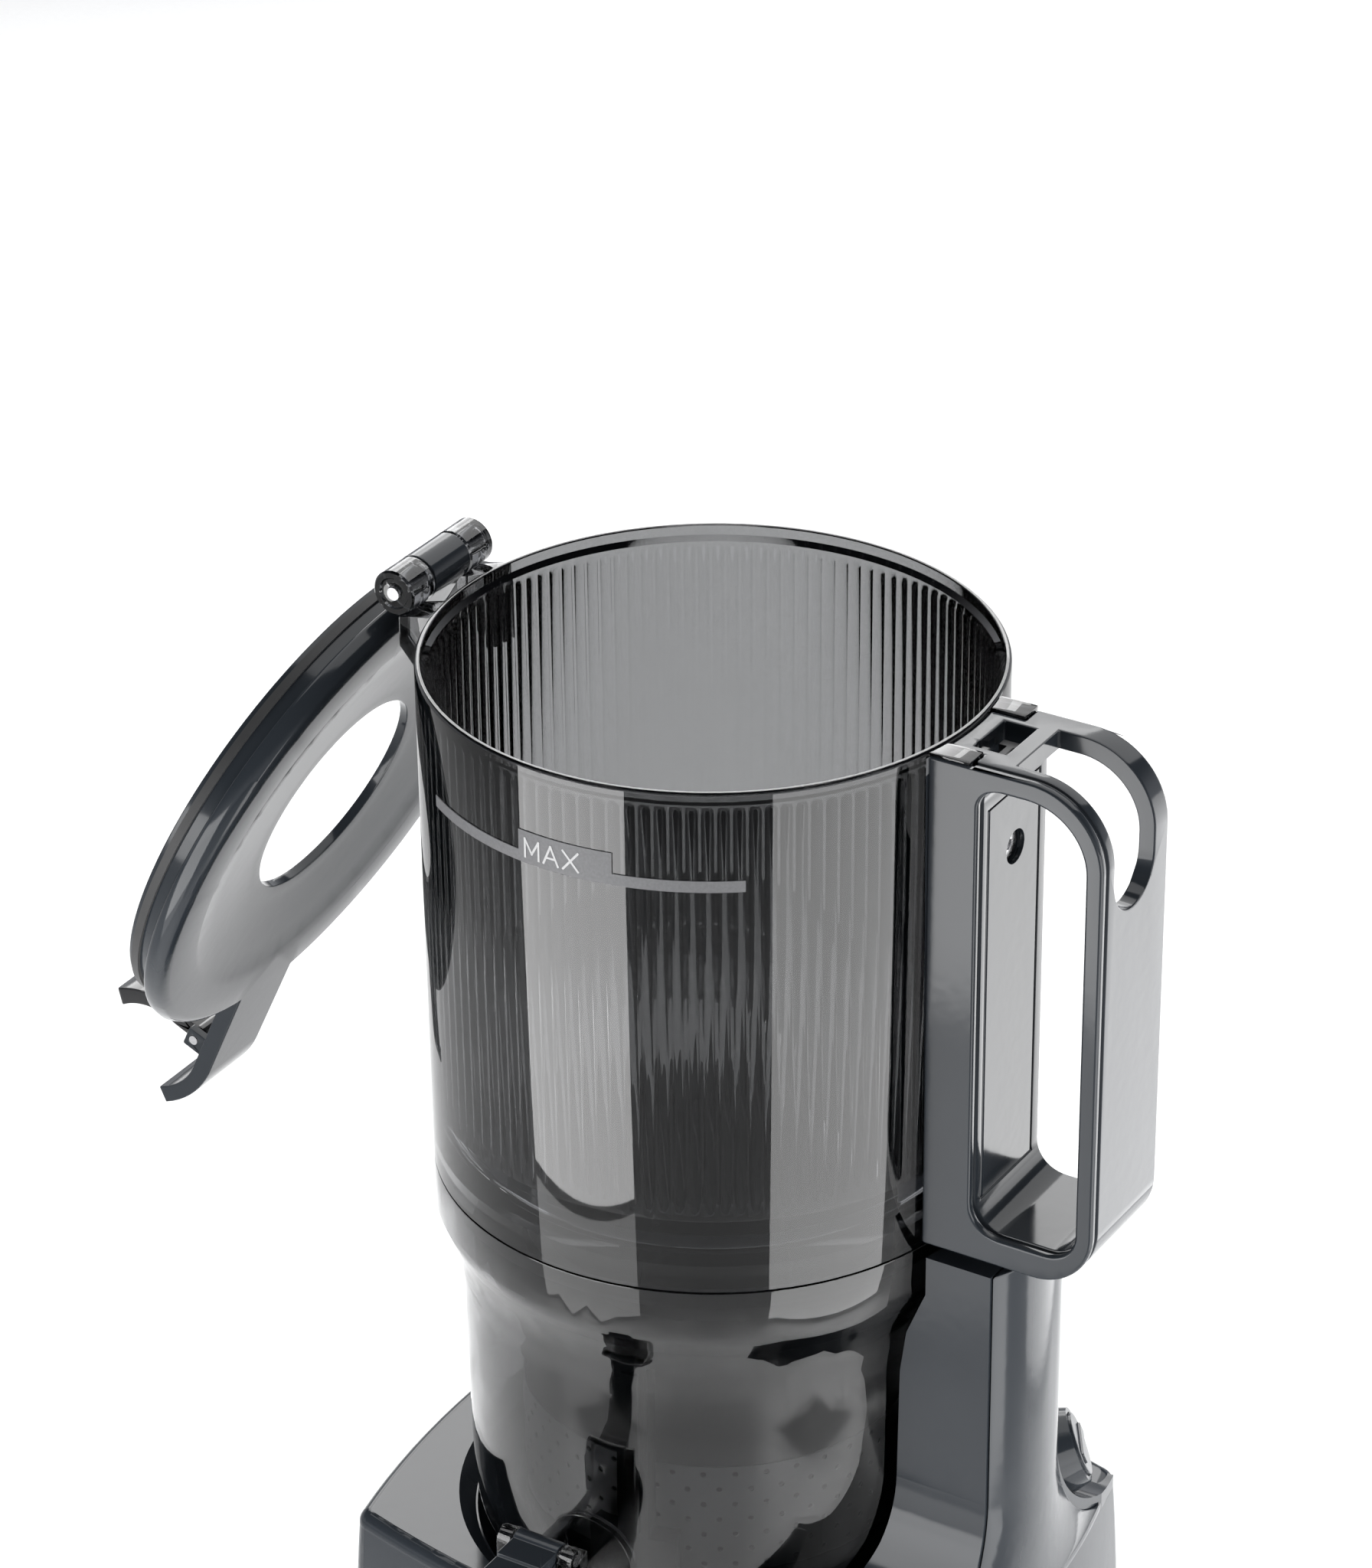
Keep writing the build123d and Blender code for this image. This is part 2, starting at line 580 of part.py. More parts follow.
def bowl_shell():
    flange_r = HOPPER_R - HOPPER_DRAFT
    outside = bowl_side(0)
    inside = [(r - CLEAR_WALL, z + (1.2 if r < BOWL_R - 3 else 0)) for r, z in outside[1:-1]]
    inside.append((flange_r - CLEAR_WALL, FLANGE_Z + 0.5))
    points = outside + [(flange_r, SEAM_Z - 0.3), (flange_r - CLEAR_WALL, SEAM_Z - 0.3)]
    points += list(reversed(inside)) + [(outside[0][0] - CLEAR_WALL, POCKET_Z + 8)]
    return lathe(points)


def bowl():
    """Clear bowl with its floor, hub, juice spout and pulp chute."""
    inner_r = BOWL_R - 16.0
    body = bowl_shell()
    body += rod(inner_r, BOWL_FLOOR, BOWL_FLOOR + CLEAR_WALL)
    body += rod(HUB_R, BOWL_FLOOR, GEAR_Z - 0.6)
    body += rod(5.0, BOWL_FLOOR, GEAR_Z - 0.6, 0, IDLER_C)
    body += tube(BOWL_R - 24.6, BOWL_R - 27.2, POCKET_Z + 0.3, POCKET_Z + 8.2)
    room = rod(BOWL_R - 4.6, 0, 400)
    spout = rod_y(SPOUT_R, SPOUT_Y, -50, 0, SPOUT_Z)
    for x in (-9.0, 9.0):
        lug = box(x - 2, x + 2, CAP_PIN_Y - 3, CAP_PIN_Y + 5, SPOUT_Z + 6, CAP_PIN_Z)
        spout += lug + rod_x(3.0, x - 2, x + 2, CAP_PIN_Y, CAP_PIN_Z)
    chute = rod_y(PULP_R, 50, PULP_Y, 0, PULP_Z)
    body += (spout + chute) - room
    body -= rod_y(SPOUT_R - SPOUT_WALL, SPOUT_Y - 1, -45, 0, SPOUT_Z)
    body -= rod_y(PULP_R - SPOUT_WALL, 45, PULP_Y + 1, 0, PULP_Z)
    body -= rod_x(CAP_PIN_R, -20, 20, CAP_PIN_Y, CAP_PIN_Z)
    body -= rod(HUB_BORE, BOWL_FLOOR - 1, GEAR_Z + 1)
    return body - rod(IDLER_PIN_R, BOWL_FLOOR + 1, GEAR_Z + 1, 0, IDLER_C)


def bowl_gasket():
    """Soft ring under the bowl's foot."""
    return tube(BOWL_R - 27.3, BOWL_R - 31.0, POCKET_Z + 0.3, POCKET_Z + 6)


def hub_bush():
    return tube(HUB_BORE, HUB_BORE - 1.6, BOWL_FLOOR, GEAR_Z - 0.6)


def idler_axle():
    return rod(IDLER_PIN_R, BOWL_FLOOR + 1, GEAR_Z + GEAR_H - 0.5, 0, IDLER_C)


def idler_gear():
    turn = 90 + 180 - 180 / IDLER_TEETH
    body = gear(IDLER_TEETH, WIPER_MODULE, GEAR_Z, GEAR_Z + GEAR_H - 0.5, turn)
    return Pos(0, IDLER_C, 0) * (body - rod(IDLER_PIN_R + RUN, GEAR_Z - 1, GEAR_Z + GEAR_H))


def spout_cap():
    """Drip-stop cap on the juice spout, with a thumb tab."""
    face_y = SPOUT_Y - FIT
    body = rod_y(SPOUT_R + 1.2, face_y - 3.4, face_y, 0, SPOUT_Z)
    body = fillet(body.edges().filter_by(GeomType.CIRCLE).sort_by(Axis.Y)[0], 1.4)
    body += box(-6.5, 6.5, face_y - 3.4, face_y, SPOUT_Z + 6, CAP_PIN_Z + 1)
    body += box(-6.5, 6.5, face_y - 3.4, CAP_PIN_Y, CAP_PIN_Z - 2.2, CAP_PIN_Z + 2.2)
    body += rod_x(3.2, -6.5, 6.5, CAP_PIN_Y, CAP_PIN_Z)
    body += box(-6.5, 6.5, face_y - 12, face_y, CAP_PIN_Z - 1.2, CAP_PIN_Z + 1.2)
    return body - rod_x(CAP_PIN_R + RUN, -10, 10, CAP_PIN_Y, CAP_PIN_Z)


def cap_pin():
    return rod_x(CAP_PIN_R, -11, 11, CAP_PIN_Y, CAP_PIN_Z)


def pulp_plug():
    """Silicone ring in the mouth of the pulp chute that holds back the pulp."""
    outer = rod_y(PULP_R - SPOUT_WALL, PULP_Y - 12, PULP_Y, 0, PULP_Z)
    return outer - rod_y(PULP_R - SPOUT_WALL - 3.4, PULP_Y - 13, PULP_Y + 1, 0, PULP_Z)


# ---- strainer, wiper and auger ----------------------------------------------
STRAINER_TOP = FLANGE_Z - 12.5
HOLE_ROWS = 7
HOLES_ROUND = 40
STRAINER_WALL = 1.8


def strainer():
    """Fine basket: floor, perforated wall and top flange."""
    low_r = STRAINER_R - 3.0
    wall = lathe([(low_r, STRAINER_Z), (STRAINER_R, STRAINER_Z + 12), (STRAINER_R, STRAINER_TOP),
                  (STRAINER_R - STRAINER_WALL, STRAINER_TOP),
                  (STRAINER_R - STRAINER_WALL, STRAINER_Z + 12),
                  (low_r - STRAINER_WALL, STRAINER_Z + 2), (11.2, STRAINER_Z + 2), (11.2, STRAINER_Z)])
    flange = tube(BOWL_R - 1.6, STRAINER_R - STRAINER_WALL, STRAINER_TOP, STRAINER_TOP + 3)
    return wall + flange + tube(STRAINER_R - 0.2, STRAINER_R - 4.0, STRAINER_TOP + 3, STRAINER_TOP + 8)


def strainer_mesh():
    """Thin perforated sleeve that lines the outside of the strainer's lower wall."""
    z0 = STRAINER_Z + 16
    sleeve = tube(STRAINER_R + 0.4, STRAINER_R, z0, z0 + HOLE_ROWS * 4.6)
    drill = Compound([Rot(0, 0, 360 * (k + 0.5 * (row % 2)) / HOLES_ROUND)
                      * rod_x(0.8, STRAINER_R - 1, STRAINER_R + 2, 0, z0 + 2.3 + 4.6 * row)
                      for row in range(HOLE_ROWS) for k in range(HOLES_ROUND)])
    return sleeve - drill


ARM_COUNT = 3
ARM_AZ = -80.0
ARM_IN = STRAINER_R + 2.6
ARM_OUT = BOWL_R - 6.2


def wiper_carrier():
    """Geared ring with three upright arms that carry the wipers round the strainer."""
    z1 = GEAR_Z + GEAR_H
    top = STRAINER_TOP - 1.0
    ring = rod(ARM_IN - 1.0, GEAR_Z, z1)
    ring -= gear(WIPER_TEETH, WIPER_MODULE, GEAR_Z - 1, z1 + 1, 90 - 180 / WIPER_TEETH,
                 slack=-0.16, growth=0.3)
    body = ring + tube(ARM_OUT, ARM_IN, top - 5, top)
    band = tube(ARM_OUT, ARM_IN, z1 + 10, top - 2)
    for k in range(ARM_COUNT):
        az = ARM_AZ + 360 * k / ARM_COUNT
        body += band & wedge(az - 4, az + 4, 90, z1, top)
        body += band & wedge(az - 13, az + 11, 90, z1, z1 + 32)
    sill = lathe([(ARM_IN - 3, z1 - 2), (ARM_IN - 1, z1 - 2), (ARM_IN + 2.4, z1 + 3), (ARM_OUT, z1 + 10),
                  (ARM_OUT, z1 + 14), (ARM_IN, z1 + 14), (ARM_IN, z1 + 6), (ARM_IN - 3, z1)])
    return body + sill


def wiper_blades():
    """Silicone strips on the inside and outside of each arm."""
    z0 = GEAR_Z + GEAR_H + 14
    z1 = STRAINER_TOP - 8
    inner = tube(ARM_IN, STRAINER_R + 0.8, z0, z1)
    outer = tube(BOWL_R - CLEAR_WALL - 2.3, ARM_OUT, z0 + 20, z1)
    strips = []
    for k in range(ARM_COUNT):
        az = ARM_AZ + 360 * k / ARM_COUNT
        strips.append(inner & wedge(az - 2, az + 2, 90, z0, z1))
        strips.append(outer & wedge(az - 2, az + 2, 90, z0, z1))
    return Compound(strips)


AUGER_Z0 = STRAINER_Z + 2.6
AUGER_TOP = SEAM_Z - 4.0
CORE_LOW_R = 24.0
CORE_TOP_R = 16.0
FLIGHT_PITCH = 44.0
FLIGHT_H = 62.0


def auger_flight():
    """Screw flight wound round the core."""
    z0 = AUGER_Z0 + 6.0
    path = Helix(FLIGHT_PITCH, FLIGHT_H, 12.0)
    section = make_face(Polyline((12.0, 0, -3.2), (AUGER_R, 0, -1.6), (AUGER_R, 0, 1.6),
                                 (12.0, 0, 3.2), close=True))
    return Pos(0, 0, z0) * sweep(section, path=path, is_frenet=True)


def auger():
    """Auger: gear and socket below, cone and flight above."""
    core = lathe([(0, AUGER_Z0), (CORE_LOW_R + 14, AUGER_Z0), (CORE_LOW_R + 6, AUGER_Z0 + 8),
                  (CORE_LOW_R, AUGER_Z0 + 26), (CORE_TOP_R, AUGER_TOP), (0, AUGER_TOP)])
    body = core + auger_flight()
    body += rod(HUB_BORE - 1.6 - RUN, BOWL_FLOOR, AUGER_Z0)
    body += gear(AUGER_TEETH, WIPER_MODULE, GEAR_Z, GEAR_Z + GEAR_H, 90)
    body += rod(9.0, GEAR_Z + GEAR_H, AUGER_Z0)
    body -= rod(6.2, BOWL_FLOOR - 1, DRIVE_TOP + 8)
    return body - box(-1.4, 1.4, -CORE_TOP_R + 4, CORE_TOP_R - 4, AUGER_TOP - 16, AUGER_TOP + 1)


def drive_socket():
    """Steel hexagon socket moulded into the foot of the auger."""
    body = rod(6.2, BOWL_FLOOR, DRIVE_TOP + 8)
    hexagon = extrude(RegularPolygon(HEX_ACROSS / 2 + RUN, 6, major_radius=False),
                      amount=DRIVE_TOP + 6 - BOWL_FLOOR)
    return body - Pos(0, 0, BOWL_FLOOR - 0.01) * hexagon


def feed_blade():
    """Slanted blade on top of the auger that pulls food down and cuts it."""
    r = CORE_TOP_R - 4
    root = box(-1.4, 1.4, -r, r, AUGER_TOP - 16, AUGER_TOP)
    outline = [(-38, AUGER_TOP), (38, AUGER_TOP), (30, AUGER_TOP + 6), (-20, AUGER_TOP + 17),
               (-38, AUGER_TOP + 10)]
    fin = Rot(0, 0, 90) * slab_y([(x, z) for x, z in outline], -1.4, 1.4)
    return root + fin


# ---- hopper ----------------------------------------------------------------
FUNNEL_R = 44.0
KNUCKLE_SPLIT = 8.0
EAR_X = HOPPER_R + 8.5
EAR_Z = RIM_Z - 0.2


def hopper():
    """Clear hopper: straight wall, funnel floor, spigot, hinge knuckles, handle ears."""
    foot_r = HOPPER_R - HOPPER_DRAFT
    wall = CLEAR_WALL
    body = lathe([(foot_r, SEAM_Z), (HOPPER_R, RIM_Z - 0.8), (HOPPER_R - 0.6, RIM_Z),
                  (HOPPER_R - 1.5, RIM_Z), (HOPPER_R - 1.5, RIM_Z - 3), (HOPPER_R - wall, RIM_Z - 4.5),
                  (foot_r - wall, SEAM_Z + 20), (FUNNEL_R + 2, SEAM_Z + 9), (FUNNEL_R, SEAM_Z + 9),
                  (FUNNEL_R, SEAM_Z + 5.5), (foot_r - wall - 3, SEAM_Z + 5.5),
                  (foot_r - wall - 3, SEAM_Z - 6), (foot_r - wall - 0.6, SEAM_Z - 6),
                  (foot_r - wall - 0.6, SEAM_Z)])
    outside = rod(HOPPER_R - 1.4, 0, RIM_Z + 40)
    for side in (-1, 1):
        y0, y1 = sorted((side * KNUCKLE_SPLIT, side * HINGE_HALF))
        web_in = 6.5 - HOPPER_R
        web = slab_y([(HINGE_X + 1.2, RIM_Z - 0.2), (web_in, RIM_Z - 0.2), (web_in, RIM_Z - 22),
                      (0.5 - HOPPER_R, RIM_Z - 22), (HINGE_X + 1.2, RIM_Z - 11)], y0, y1)
        body += web - outside
        body += rod_y(HINGE_R, y0, y1, HINGE_X, HINGE_Z)
        ear_y = sorted((side * 10.2 - 1.5, side * 17.0 - 1.5))
        ear = box(HOPPER_R - 12.5, EAR_X, ear_y[0], ear_y[1], RIM_Z - 5.2, EAR_Z)
        body += ear - outside
    return body - rod_y(PIN_R, -HINGE_HALF - 1, HINGE_HALF + 1, HINGE_X, HINGE_Z)


def max_mark():
    """Thin printed fill line with its flag, on the front of the hopper."""
    skin = tube(HOPPER_R + 0.25, HOPPER_R + 0.02, RIM_Z - 40, RIM_Z)
    line = skin & wedge(-125, -53, 90, RIM_Z - 26, RIM_Z - 23)
    flag = skin & wedge(-98, -78, 90, RIM_Z - 26, RIM_Z - 17.5)
    return line + flag


def hinge_pin():
    return rod_y(PIN_R, -HINGE_HALF - 0.3, HINGE_HALF + 0.3, HINGE_X, HINGE_Z)


# ---- handle ----------------------------------------------------------------
PLATE_T = 2.4
LINER_T = 1.3
SLOT_Y0 = -12.5
SLOT_Y1 = 8.0
SLOT_X = COLUMN_X + 7.2
SLOT_END = RIM_Z - 36.0
ROD_R = 2.2
ROD_TRAVEL = 2.8
ROD_HEAD_T = 2.0
ROD_HEAD_SINK = 3.4
SCREW_Z = RIM_Z - 31.0


def loop_outline(grow):
    """Side view of the handle loop, without its opening."""
    x0, x1 = HOPPER_R - 12.5, HANDLE_OUT_X + grow
    z0, z1 = HANDLE_Z0 - grow, HANDLE_TOP + grow
    face = make_face(Polyline((x0, 0, z0), (x1, 0, z0), (x1, 0, z1), (x0, 0, z1), close=True))
    corners = face.vertices().group_by(Axis.X)[-1].sort_by(Axis.Z)
    face = fillet(corners[0], 16.0 + grow)
    corners = face.vertices().sort_by_distance((x1, 0, z1))
    return fillet(corners[0], 20.0 + grow)


def loop_opening(grow):
    """Side view of the grip opening."""
    x0, x1 = COLUMN_X - grow, HANDLE_OUT_X - OUTER_T + grow
    z0, z1 = HANDLE_Z0 + FOOT_T - grow, HANDLE_TOP - ARCH_T + grow
    face = make_face(Polyline((x0, 0, z0), (x1, 0, z0), (x1, 0, z1), (x0, 0, z1), close=True))
    face = fillet(face.vertices().sort_by_distance((x1, 0, z1))[0], 16.0)
    face = fillet(face.vertices().sort_by_distance((x0, 0, z1))[0], 6.0)
    face = fillet(face.vertices().sort_by_distance((x0, 0, z0))[0], 8.0)
    return fillet(face.vertices().sort_by_distance((x1, 0, z0))[0], 8.0)


def loop_solid(grow, y0, y1):
    ring = loop_outline(grow) - loop_opening(-grow)
    body = extrude(Pos(0, y0, 0) * ring, amount=y1 - y0, dir=(0, 1, 0))
    return body - rod(HOPPER_R + 0.1, HANDLE_Z0 - 5, RIM_Z + 5)


def arch_slot():
    """The U-shaped slot over the arch and down the outer leg."""
    mid = (SLOT_Y0 + SLOT_Y1) / 2
    half = (SLOT_Y1 - SLOT_Y0) / 2
    cut = box(SLOT_X, HANDLE_OUT_X + 5, SLOT_Y0, SLOT_Y1, HANDLE_TOP - ARCH_T - 8, HANDLE_TOP + 5)
    leg = box(COLUMN_X + 18, HANDLE_OUT_X + 5, SLOT_Y0, SLOT_Y1, SLOT_END + half, HANDLE_TOP)
    return cut + leg + rod_x(half, COLUMN_X + 18, HANDLE_OUT_X + 5, mid, SLOT_END + half)


def ear_room():
    """Space in the handle's top for the hopper's two ears."""
    cuts = []
    for side in (-1, 1):
        y0, y1 = sorted((side * 10.2 - 1.5, side * 17.0 - 1.5))
        cuts.append(box(HOPPER_R - 12.5, EAR_X + 0.3, y0 - 0.2, y1 + 0.2, RIM_Z - 5.4, RIM_Z + 1))
    return cuts[0] + cuts[1]


def handle_front_plate():
    body = loop_solid(0, -HALF_FRONT, -HALF_FRONT + PLATE_T)
    body -= ear_room()
    return body


def handle_frame():
    """Handle loop behind the front plate, with slot, pocket and rod channel."""
    y0 = -HALF_FRONT + PLATE_T
    body = loop_solid(0, y0 + 0.9, HANDLE_BACK)
    back = body.faces().sort_by(Axis.Y)[-1]
    body = chamfer(back.outer_wire().edges().group_by(Axis.X)[-1], 2.0)
    body += loop_solid(-0.8, y0, y0 + 0.9)
    body -= arch_slot()
    body -= ear_room()
    pocket_z = HANDLE_TOP - ROD_HEAD_SINK - ROD_HEAD_T - ROD_TRAVEL - 0.8
    body -= box(SWITCH_X - 2.0, SWITCH_X + 6.6, SWITCH_Y - 2.4, SWITCH_Y + 12.5, pocket_z, RIM_Z + 1)
    body -= rod(ROD_R + RUN, HANDLE_Z0 - 1, RIM_Z, SWITCH_X, SWITCH_Y)
    body -= box(COLUMN_X - LINER_T, COLUMN_X + 1, -13, 13, HANDLE_Z0 + 14, HANDLE_TOP - 14)
    body -= rod_x(4.4, COLUMN_X - 4.5, COLUMN_X + 1, 1, SCREW_Z)
    return body - rod_x(2.0, HOPPER_R + 0.5, COLUMN_X, 1, SCREW_Z)


def handle_liner():
    """Smooth strip along the column's grip side."""
    body = box(COLUMN_X - LINER_T, COLUMN_X, -12.8, 12.8, HANDLE_Z0 + 14.2, HANDLE_TOP - 14.2)
    body = fillet(body.edges().filter_by(Axis.Z).group_by(Axis.X)[-1], 0.8)
    return body - rod_x(4.4, COLUMN_X - 5, COLUMN_X + 1, 1, SCREW_Z)


def handle_screw():
    """Socket screw that holds the handle's column to the hopper wall."""
    head = rod_x(3.8, COLUMN_X - 4.5, COLUMN_X - 1.9, 1, SCREW_Z)
    key = extrude(RegularPolygon(1.6, 6), amount=-1.6)
    head -= Pos(COLUMN_X - 1.9, 1, SCREW_Z) * Rot(0, 90, 0) * key
    return head + rod_x(2.0, HOPPER_R + 0.7, COLUMN_X - 4.5, 1, SCREW_Z)


def interlock_rod():
    """Rod in the handle column that the closed lid pushes onto the tower switch."""
    z0 = TOWER_TOP + PLUNGER_PROUD + FIT + 0.4
    tip_z = HANDLE_Z0 + 2.0
    body = rod(ROD_R, tip_z, HANDLE_TOP - 5, SWITCH_X, SWITCH_Y)
    body += rod(PLUNGER_R - FIT, z0, tip_z, SWITCH_X, SWITCH_Y)
    head_z = HANDLE_TOP - ROD_HEAD_SINK
    body += box(SWITCH_X - 0.6, SWITCH_X + 5.6, SWITCH_Y - 1.9, SWITCH_Y + 1.9, head_z - ROD_HEAD_T, head_z)
    body += box(SWITCH_X + 1.6, SWITCH_X + 3.4, SWITCH_Y + 1.9, SWITCH_Y + 7, head_z - ROD_HEAD_T, head_z)
    return body + box(SWITCH_X - 0.6, SWITCH_X + 5.6, SWITCH_Y + 7, SWITCH_Y + 9.6, head_z - ROD_HEAD_T, head_z)


# ---- lid -------------------------------------------------------------------
PLUG_R = HOPPER_R - 4.2
PLUG_H = 7.5
DISH_R = 58.0
TAIL_Y0 = -12.0
TAIL_Y1 = 10.5
LID_Z0 = RIM_Z + FIT
LID_Z1 = LID_Z0 + LID_T
TRIGGER_X = HANDLE_OUT_X - 22.7
TRIGGER_PIN_R = 1.3


def opened(piece):
    """Swings a piece drawn on the closed lid to the open rest position."""
    hinge = Pos(HINGE_X, 0, HINGE_Z)
    return hinge * Rot(0, -LID_OPEN, 0) * hinge.inverse() * piece


def lid_disc():
    body = lathe([(LID_HOLE_R, LID_Z0), (LID_R - 0.6, LID_Z0), (LID_R, LID_Z0 + 0.8),
                  (LID_R, LID_Z1 - 3.2), (LID_R - 1.2, LID_Z1 - 1.1), (LID_R - 3.6, LID_Z1),
                  (DISH_R + 1.0, LID_Z1), (DISH_R - 1.0, LID_Z1 - 0.8), (LID_HOLE_R + 6, LID_Z1 - 3.2),
                  (LID_HOLE_R, LID_Z1 - 3.6)])
    return body


def lid_tail():
    """Lever beyond the disc that lies over the handle's arch when closed."""
    x0 = LID_R - 14
    bend_x = HANDLE_OUT_X - 20
    top = LID_Z1
    low = LID_Z1 - 5.0
    edges = [
        Line((x0, TAIL_Y0, low), (x0, TAIL_Y0, top)),
        Line((x0, TAIL_Y0, top), (bend_x, TAIL_Y0, top)),
        ThreePointArc((bend_x, TAIL_Y0, top), (bend_x + 10.5, TAIL_Y0, top - 2.4), (bend_x + 18.5, TAIL_Y0, top - 8)),
        Line((bend_x + 18.5, TAIL_Y0, top - 8), (bend_x + 15.4, TAIL_Y0, top - 11.6)),
        ThreePointArc((bend_x + 15.4, TAIL_Y0, top - 11.6), (bend_x + 8.8, TAIL_Y0, top - 6.6), (bend_x, TAIL_Y0, low)),
        Line((bend_x, TAIL_Y0, low), (x0, TAIL_Y0, low)),
    ]
    body = extrude(make_face(edges), amount=TAIL_Y1 - TAIL_Y0, dir=(0, 1, 0))
    return body - rod(LID_R - 6, LID_Z0 - 20, LID_Z1 + 5)


def lid():
    """Lid plate with its knuckle, plug ring and lever tail."""
    body = lid_disc()
    body += tube(PLUG_R, PLUG_R - 2.2, RIM_Z - PLUG_H, LID_Z0 + 0.1)
    body += lid_tail()
    y = KNUCKLE_SPLIT - FIT
    foot_x = -LID_R - 1.2
    arm = slab_y([(HINGE_X, HINGE_Z - HINGE_R + 2.2), (foot_x, LID_Z0), (6.3 - LID_R, LID_Z0), (6.3 - LID_R, LID_Z1),
                  (HINGE_X, LID_Z1 + 1.5)],
                 -y, y)
    body += arm - rod(LID_R - 4, LID_Z0 - 20, LID_Z1 + 5)
    body += rod_y(HINGE_R, -y, y, HINGE_X, HINGE_Z)
    mid = (TAIL_Y0 + TAIL_Y1) / 2
    for dy in (-6.4, 6.4):
        body += box(TRIGGER_X - 3, TRIGGER_X + 3, mid + dy - 1.2, mid + dy + 1.2, LID_Z0 - 5.5, LID_Z1 - 4.5)
    body -= rod_y(TRIGGER_PIN_R, mid - 12, mid + 12, TRIGGER_X, LID_Z0 - 3)
    return body - rod_y(PIN_R + RUN, -HINGE_HALF, HINGE_HALF, HINGE_X, HINGE_Z)


def lid_seal():
    """Soft ring round the lid's plug."""
    z = RIM_Z - PLUG_H + 1.5
    return tube(PLUG_R + 0.9, PLUG_R, z, z + 2.2)


def trigger_pin():
    mid = (TAIL_Y0 + TAIL_Y1) / 2
    return rod_y(TRIGGER_PIN_R, mid - 7.6, mid + 7.6, TRIGGER_X, LID_Z0 - 3)


def latch_trigger():
    """Sprung finger lever under the tail that lets go of the handle's catch."""
    mid = (TAIL_Y0 + TAIL_Y1) / 2
    z = LID_Z0 - 3
    low = z - 24
    y0 = mid - 4.8
    edges = [
        Line((TRIGGER_X - 2.4, y0, z + 1), (TRIGGER_X + 2.4, y0, z + 1)),
        Line((TRIGGER_X + 2.4, y0, z + 1), (TRIGGER_X + 2.4, y0, z - 8)),
        ThreePointArc((TRIGGER_X + 2.4, y0, z - 8), (TRIGGER_X + 3.4, y0, z - 17), (TRIGGER_X + 9, y0, low)),
        Line((TRIGGER_X + 9, y0, low), (TRIGGER_X + 5, y0, low - 3.2)),
        ThreePointArc((TRIGGER_X + 5, y0, low - 3.2), (TRIGGER_X - 1.0, y0, z - 18), (TRIGGER_X - 2.4, y0, z - 8)),
        Line((TRIGGER_X - 2.4, y0, z - 8), (TRIGGER_X - 2.4, y0, z + 1)),
    ]
    body = extrude(make_face(edges), amount=9.6, dir=(0, 1, 0))
    body += rod_y(2.9, y0, y0 + 9.6, TRIGGER_X, z)
    return body - rod_y(TRIGGER_PIN_R + RUN, y0 - 1, y0 + 11, TRIGGER_X, z)


# ---- every piece into its own file -------------------------------------------
os.makedirs("parts", exist_ok=True)

save(lower_case(), "lower_case")
save(control_panel(), "control_panel")
save(push_button(START_X), "start_button")
save(push_button(REVERSE_X), "reverse_button")
save(circuit_board(), "circuit_board")
save(bottom_cover(), "bottom_cover")
save(cover_screws(), "cover_screws")
save(feet(), "feet")
save(power_inlet(), "power_inlet")
save(top_cover(), "top_cover")
save(tower_shell(), "tower_shell")
save(mode_dial(), "mode_dial")
save(interlock_switch(), "interlock_switch")
save(switch_plunger(), "switch_plunger")

save(motor_can(), "motor_can")
save(motor_stator(), "motor_stator")
save(motor_bearings(), "motor_bearings")
save(motor_rotor(), "motor_rotor")
save(motor_mount(), "motor_mount")
save(gear_case(), "gear_case")
save(gear_case_lid(), "gear_case_lid")
save(layshaft_axle(), "layshaft_axle")
save(layshaft_gear(), "layshaft_gear")
save(drive_shaft(), "drive_shaft")
save(drive_bush(), "drive_bush")
save(drive_seal(), "drive_seal")

save(bowl(), "bowl")
save(bowl_gasket(), "bowl_gasket")
save(hub_bush(), "hub_bush")
save(idler_axle(), "idler_axle")
save(idler_gear(), "idler_gear")
save(spout_cap(), "spout_cap")
save(cap_pin(), "cap_pin")
save(pulp_plug(), "pulp_plug")
save(strainer(), "strainer")
save(strainer_mesh(), "strainer_mesh")
save(wiper_carrier(), "wiper_carrier")
save(wiper_blades(), "wiper_blades")
save(auger(), "auger")
save(drive_socket(), "drive_socket")
save(feed_blade(), "feed_blade")

save(hopper(), "hopper")
save(max_mark(), "max_mark")
save(hinge_pin(), "hinge_pin")
save(handle_front_plate(), "handle_front_plate")
save(handle_frame(), "handle_frame")
save(handle_liner(), "handle_liner")
save(handle_screw(), "handle_screw")
save(interlock_rod(), "interlock_rod")

save(opened(lid()), "lid")
save(opened(lid_seal()), "lid_seal")
save(opened(trigger_pin()), "trigger_pin")
save(opened(latch_trigger()), "latch_trigger")
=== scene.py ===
import json
from math import cos, pi, radians, sin, sqrt, tan

import bmesh
import bpy
from mathutils import Matrix, Vector


